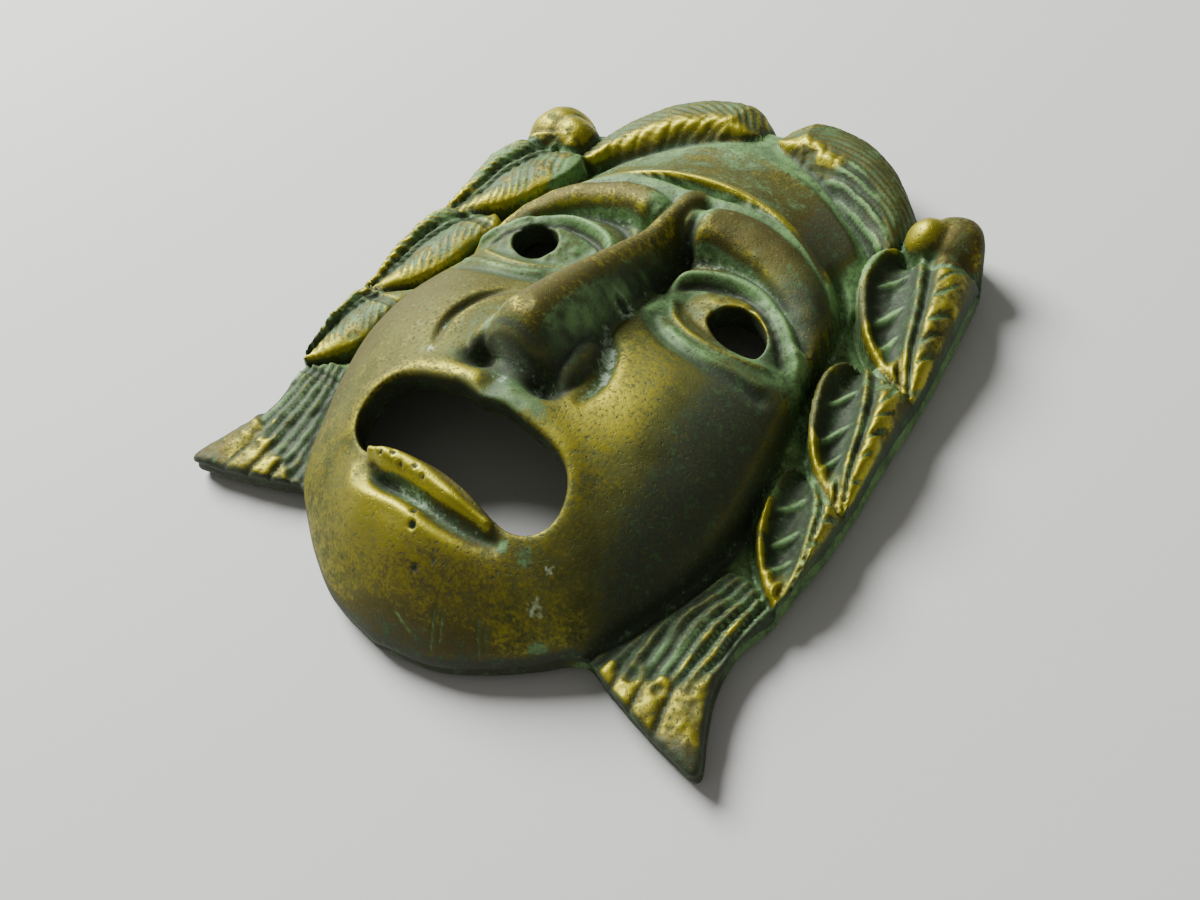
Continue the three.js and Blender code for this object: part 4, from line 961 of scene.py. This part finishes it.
# Points on the front: rings that follow each edge, and the net between them
rings = [outline + inward_of(outline, softening=6) * depth for depth in OUTER_RINGS]
rings += [loop - inward_of(loop, softening=4) * depth for loop in holes for depth in HOLE_RINGS]
net = net_within(net_points(NET), outline, OUTER_CLEAR, HOLE_CLEAR)
free = np.vstack([*rings, net])
front_faces = triangulate(free, [outline, *holes])
front_plan = np.vstack([outline, *holes, free])

relief = front(front_plan[:, 0], front_plan[:, 1])
front_z = relief.z.copy()
for loop, edge_round in zip([outline, *holes], [OUTER_ROUND, *hole_rounds]):
    near = np.clip(1 - distance_to(loop, front_plan) / edge_round, 0, 1)
    front_z -= edge_round * (1 - np.sqrt(1 - near ** 2)) * 0.9
front_z = np.minimum(front_z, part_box("theatre_mask")[1][2] / MM - 0.02)


def side_skin(plan, down=1.0):
    """Verdigris on the cast's side, with tarnish under the chin and on the ribbons, and painted shade
    darkening it by the front edge.
    """
    x, y = np.abs(plan[:, 0]), plan[:, 1]
    chin = ease(-22, -27, y) * ease(20, 17, x)
    ribbon = ease(-18, -22, y) * ease(19, 21, x)
    streaks = mottling(plan[:, 0], plan[:, 1], 2.0, 81)
    tarnish_and_shade = np.maximum(np.maximum(0.75 * chin, 0.85 * ribbon), 0.8 * ease(0.3, 0.1, down))
    return {"green": 0.8 - 0.6 * chin - 0.5 * ribbon, "dark": np.maximum(0.45 * streaks, tarnish_and_shade),
            "brown": 0.45 + 0.3 * chin}


# The front's outermost half millimetre takes the side's skin: a painted shade line dark along the edge, and
# tarnish at the chin and ribbons.
edge_share = ease(0.5, 0.2, distance_to(outline, front_plan))
for name, amount in side_skin(front_plan, 0.0).items():
    relief.skin[name] = relief.skin[name] * (1 - edge_share) + amount * edge_share
for name in ("worn", "chalk"):
    relief.skin[name] = relief.skin[name] * (1 - 0.85 * edge_share)

# The heights again on an even grid, to find the hollow's ceiling and the cast's high and low spots
grid_x = np.arange(-38, 38.1, GRID_STEP)
grid_y = np.arange(-38, 47.1, GRID_STEP)
grid_z = front(*np.meshgrid(grid_x, grid_y)).z


def sample(grid, points):
    u = np.clip((points[:, 0] - grid_x[0]) / GRID_STEP, 0, len(grid_x) - 1.001)
    v = np.clip((points[:, 1] - grid_y[0]) / GRID_STEP, 0, len(grid_y) - 1.001)
    i, j = u.astype(int), v.astype(int)
    s, t = u - i, v - j
    low = grid[j, i] * (1 - s) + grid[j, i + 1] * s
    high = grid[j + 1, i] * (1 - s) + grid[j + 1, i + 1] * s
    return low * (1 - t) + high * t


def blur(grid, size):
    reach = int(3 * size / GRID_STEP) + 1
    weights = np.exp(-0.5 * (np.arange(-reach, reach + 1) * GRID_STEP / size) ** 2)
    weights /= weights.sum()
    for axis in (0, 1):
        padded = np.pad(grid, [(reach, reach) if k == axis else (0, 0) for k in (0, 1)], mode="edge")
        grid = np.apply_along_axis(np.convolve, axis, padded, weights, "valid")
    return grid


ceiling = np.full(grid_z.shape, 99.0)
for out, turns in ((0, 1), (WALL / 2, 10), (WALL, 16)):
    rise = math.sqrt(WALL ** 2 - out ** 2)
    for turn in range(turns):
        step_x = round(out * math.cos(turn / turns * 2 * math.pi) / GRID_STEP)
        step_y = round(out * math.sin(turn / turns * 2 * math.pi) / GRID_STEP)
        ceiling = np.minimum(ceiling, np.roll(grid_z, (step_y, step_x), axis=(0, 1)) - rise)
ceiling = blur(np.maximum(ceiling, CEILING_LOWEST), CEILING_BLUR) - CEILING_DROP

# Every part of the shell's surface, joined point to point
places, faces, skins = [], [], []


def put(plan, height, skin):
    start = sum(len(part) for part in places)
    places.append(np.column_stack([plan, np.broadcast_to(height, len(plan))]))
    skins.append({name: np.broadcast_to(skin.get(name, 0.0), len(plan)) for name in SKINS})
    return np.arange(start, start + len(plan))


def bridge(upper, lower):
    after_upper, after_lower = np.roll(upper, -1), np.roll(lower, -1)
    faces.append(np.column_stack([upper, lower, after_lower]))
    faces.append(np.column_stack([upper, after_lower, after_upper]))


front_ids = put(front_plan, front_z, relief.skin)
faces.append(front_ids[front_faces])
top_row = front_ids[:len(outline)]
top_z = front_z[:len(outline)]
inward = inward_of(outline, softening=24)
upper = top_row
for row in range(1, SIDE_ROWS + 1):
    down = row / SIDE_ROWS
    height = top_z * (1 - down)
    inset = SIDE_BOW * math.sin(math.pi * min(down * 2.4, 1)) + FOOT_INSET * ease(0.55, 1, down)
    plan = outline + inward * inset
    lower = put(plan, height, side_skin(plan, down))
    bridge(upper, lower)
    upper = lower
bottom_row, bottom_plan = upper, plan

hollow_edge = even_loop(both_sides(HOLLOW_EDGE), BACK_NET)
rim_ids = put(hollow_edge, 0.0, side_skin(hollow_edge))
rim = triangulate(np.zeros((0, 2)), [bottom_plan, hollow_edge])
both_ids = np.concatenate([bottom_row, rim_ids])
faces.append(both_ids[rim][:, ::-1])

back_net = net_within(net_points(BACK_NET), hollow_edge, BACK_OUTER_CLEAR, BACK_HOLE_CLEAR)
back_faces = triangulate(back_net, [hollow_edge, *holes])
back_plan = np.vstack([*holes, back_net])
back_z = sample(ceiling, back_plan) * ease(0, 1.4, distance_to(hollow_edge, back_plan))
back_ids = np.concatenate([rim_ids, put(back_plan, back_z, {"green": 0.5, "brown": 0.5, "dark": 0.2})])
faces.append(back_ids[back_faces][:, ::-1])

hole_start = len(outline)
back_start = len(hollow_edge)
for loop in holes:
    upper = front_ids[hole_start:hole_start + len(loop)]
    high = front_z[hole_start:hole_start + len(loop)]
    last = back_ids[back_start:back_start + len(loop)]
    low = back_z[back_start - len(hollow_edge):][:len(loop)]
    for row in range(1, HOLE_ROWS):
        lower = put(loop, high + (low - high) * row / HOLE_ROWS, {"green": 0.5, "dark": 0.65, "brown": 0.4})
        bridge(lower, upper)
        upper = lower
    bridge(last, upper)
    hole_start += len(loop)
    back_start += len(loop)

# The casting is a little askew: its crown leans over to its left
shell = np.vstack(places)
shell[:, 1] += SKEW * shell[:, 0] * ease(SKEW_FROM, SKEW_TO, shell[:, 1])
shell[:, 1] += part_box("theatre_mask")[0][1] / MM - CHIN_Y
triangles = np.vstack(faces)
mask_mesh = bpy.data.meshes.new("theatre_mask_relief")
mask_mesh.from_pydata((shell * MM).tolist(), [], triangles.tolist())
mask_mesh.shade_smooth()
mask_mesh.update()
mask = bpy.data.objects.new("theatre_mask_relief", mask_mesh)
bpy.context.scene.collection.objects.link(mask)

# Skins go on the mesh as one value a point each, with the cavities and ridges of the relief
fine = sample(grid_z - blur(grid_z, FINE_BLUR), front_plan)
broad = sample(grid_z - blur(grid_z, BROAD_BLUR), front_plan)
values = {name: np.concatenate([part[name] for part in skins]) for name in SKINS}
cavity = np.zeros(len(shell))
cavity[:len(front_plan)] = np.clip(-fine / FINE_SPAN, -1, 1) * 0.6
cavity[:len(front_plan)] += np.clip(-broad / BROAD_SPAN, -1, 1) * 0.4
values["cavity"] = cavity
for name, value in values.items():
    layer = mask_mesh.attributes.new(name, "FLOAT", "POINT")
    layer.data.foreach_set("value", np.ascontiguousarray(value, dtype=np.float32))


# The bronze: metal whose colour and roughness follow the skins. Fine grain, spots and broad
# clouds of noise break up the edge of each skin and the colour of the verdigris.
BRASS = (0.22, 0.196, 0.017, 1)
BRASS_BRIGHT = (0.33, 0.30, 0.024, 1)
BASE_DARK = (0.08, 0.088, 0.024, 1)
BASE_LIGHT = (0.125, 0.135, 0.036, 1)
BROWN = (0.10, 0.086, 0.025, 1)
BLACK = (0.038, 0.048, 0.031, 1)
GREEN = (0.14, 0.28, 0.09, 1)
GREEN_DEEP = (0.052, 0.105, 0.038, 1)
CHALK = (0.36, 0.46, 0.33, 1)
GRAIN_SCALE, SPOTS_SCALE, CLOUDS_SCALE = 2600.0, 900.0, 260.0
SKIN_EDGES = {
    "worn": (1.5, -0.5), "brown": (1.3, 0.1), "dark": (1.4, 0.2), "green": (1.5, 0.2), "chalk": (1.8, 0.2),
}

bronze = bpy.data.materials.new("patinated_bronze")
bronze.use_nodes = True
tree = bronze.node_tree
shader = tree.nodes["Principled BSDF"]


def plug(value, socket):
    """A socket takes either another node's output or a plain value."""
    if isinstance(value, bpy.types.NodeSocket):
        tree.links.new(value, socket)
    else:
        socket.default_value = value


def node(kind, result, values, **settings):
    """Adds a shader node, with what goes into its sockets, and gives the output that is wanted."""
    added = tree.nodes.new(kind)
    for name, value in settings.items():
        setattr(added, name, value)
    for socket, value in values.items():
        plug(value, added.inputs[socket])
    return added.outputs[result]


def calculate(operation, *values):
    return node("ShaderNodeMath", 0, dict(enumerate(values)), operation=operation)


def ramp(value, low, high):
    values = {"Value": value, "From Min": low, "From Max": high}
    return node("ShaderNodeMapRange", "Result", values, interpolation_type="SMOOTHSTEP")


def mix(amount, a, b):
    return node("ShaderNodeMix", "Result", {"Factor": amount, "A": a, "B": b}, data_type="RGBA")


def blend(amount, a, b):
    return node("ShaderNodeMix", 0, {0: amount, 2: a, 3: b}, data_type="FLOAT")


def noise(scale):
    values = {"Vector": position, "Scale": scale, "Detail": 3.0, "Roughness": 0.6}
    return node("ShaderNodeTexNoise", "Fac", values)


def skin_layer(name):
    return node("ShaderNodeAttribute", "Fac", {}, attribute_name=name)


position = node("ShaderNodeTexCoord", "Object", {})
grain, spots, clouds = noise(GRAIN_SCALE), noise(SPOTS_SCALE), noise(CLOUDS_SCALE)
cavity_level = skin_layer("cavity")


def broken(name, spread, cavity_share):
    """A skin's amount with a ragged edge: the noise and the cavities push it up or down."""
    ragged = calculate("MULTIPLY_ADD", blend(0.55, spots, grain), spread, -spread / 2)
    level = calculate("ADD", skin_layer(name), ragged)
    level = calculate("ADD", level, calculate("MULTIPLY", cavity_level, cavity_share))
    return ramp(level, 0.3, 0.7)


worn, brown, dark, green, chalk = (broken(name, *SKIN_EDGES[name]) for name in SKINS)

metal_colour = mix(ramp(cavity_level, 0.1, -0.6), BRASS, BRASS_BRIGHT)
colour = mix(ramp(clouds, 0.3, 0.7), BASE_DARK, BASE_LIGHT)
colour = mix(brown, colour, BROWN)
colour = mix(worn, colour, metal_colour)
thick = calculate("MULTIPLY", skin_layer("green"), 1.1)
for layer, share in ((clouds, 1.5), (spots, 1.3), (grain, 0.9), (cavity_level, -0.2)):
    thick = calculate("ADD", thick, calculate("MULTIPLY", layer, share))
verdigris = mix(ramp(thick, 2.3, 3.2), GREEN_DEEP, GREEN)
# The dark skin's colour: black tarnish, and painted shade where the dark skin marks shade.
tarnish_and_shade = mix(ramp(spots, 0.5, 0.75), BLACK, GREEN_DEEP)
specks, pitted = ramp(grain, 0.6, 0.68), ramp(grain, 0.4, 0.33)
covers = ((green, 0.92, verdigris), (dark, 0.9, tarnish_and_shade), (chalk, 0.85, CHALK), (specks, 0.2, GREEN),
          (pitted, 0.45, BLACK))
for amount, share, cover_colour in covers:
    colour = mix(calculate("MULTIPLY", amount, share), colour, cover_colour)
covered = calculate("MAXIMUM", calculate("MAXIMUM", green, chalk), calculate("MULTIPLY", dark, 0.88))
pits = calculate("MULTIPLY", calculate("ADD", spots, grain), 0.7)
pits = calculate("ADD", ramp(grain, 0.3, 0.42), pits)
plug(colour, shader.inputs["Base Color"])
plug(blend(dark, 0.4, 0.2), shader.inputs["Specular IOR Level"])
plug(blend(covered, 0.85, 0.1), shader.inputs["Metallic"])
plug(blend(covered, blend(worn, 0.66, 0.5), 0.62), shader.inputs["Roughness"])
bump = node("ShaderNodeBump", "Normal", {"Strength": 0.4, "Distance": 0.0001, "Height": pits})
plug(bump, shader.inputs["Normal"])
mask_mesh.materials.append(bronze)

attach(mask, "root")
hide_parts("theatre_mask")
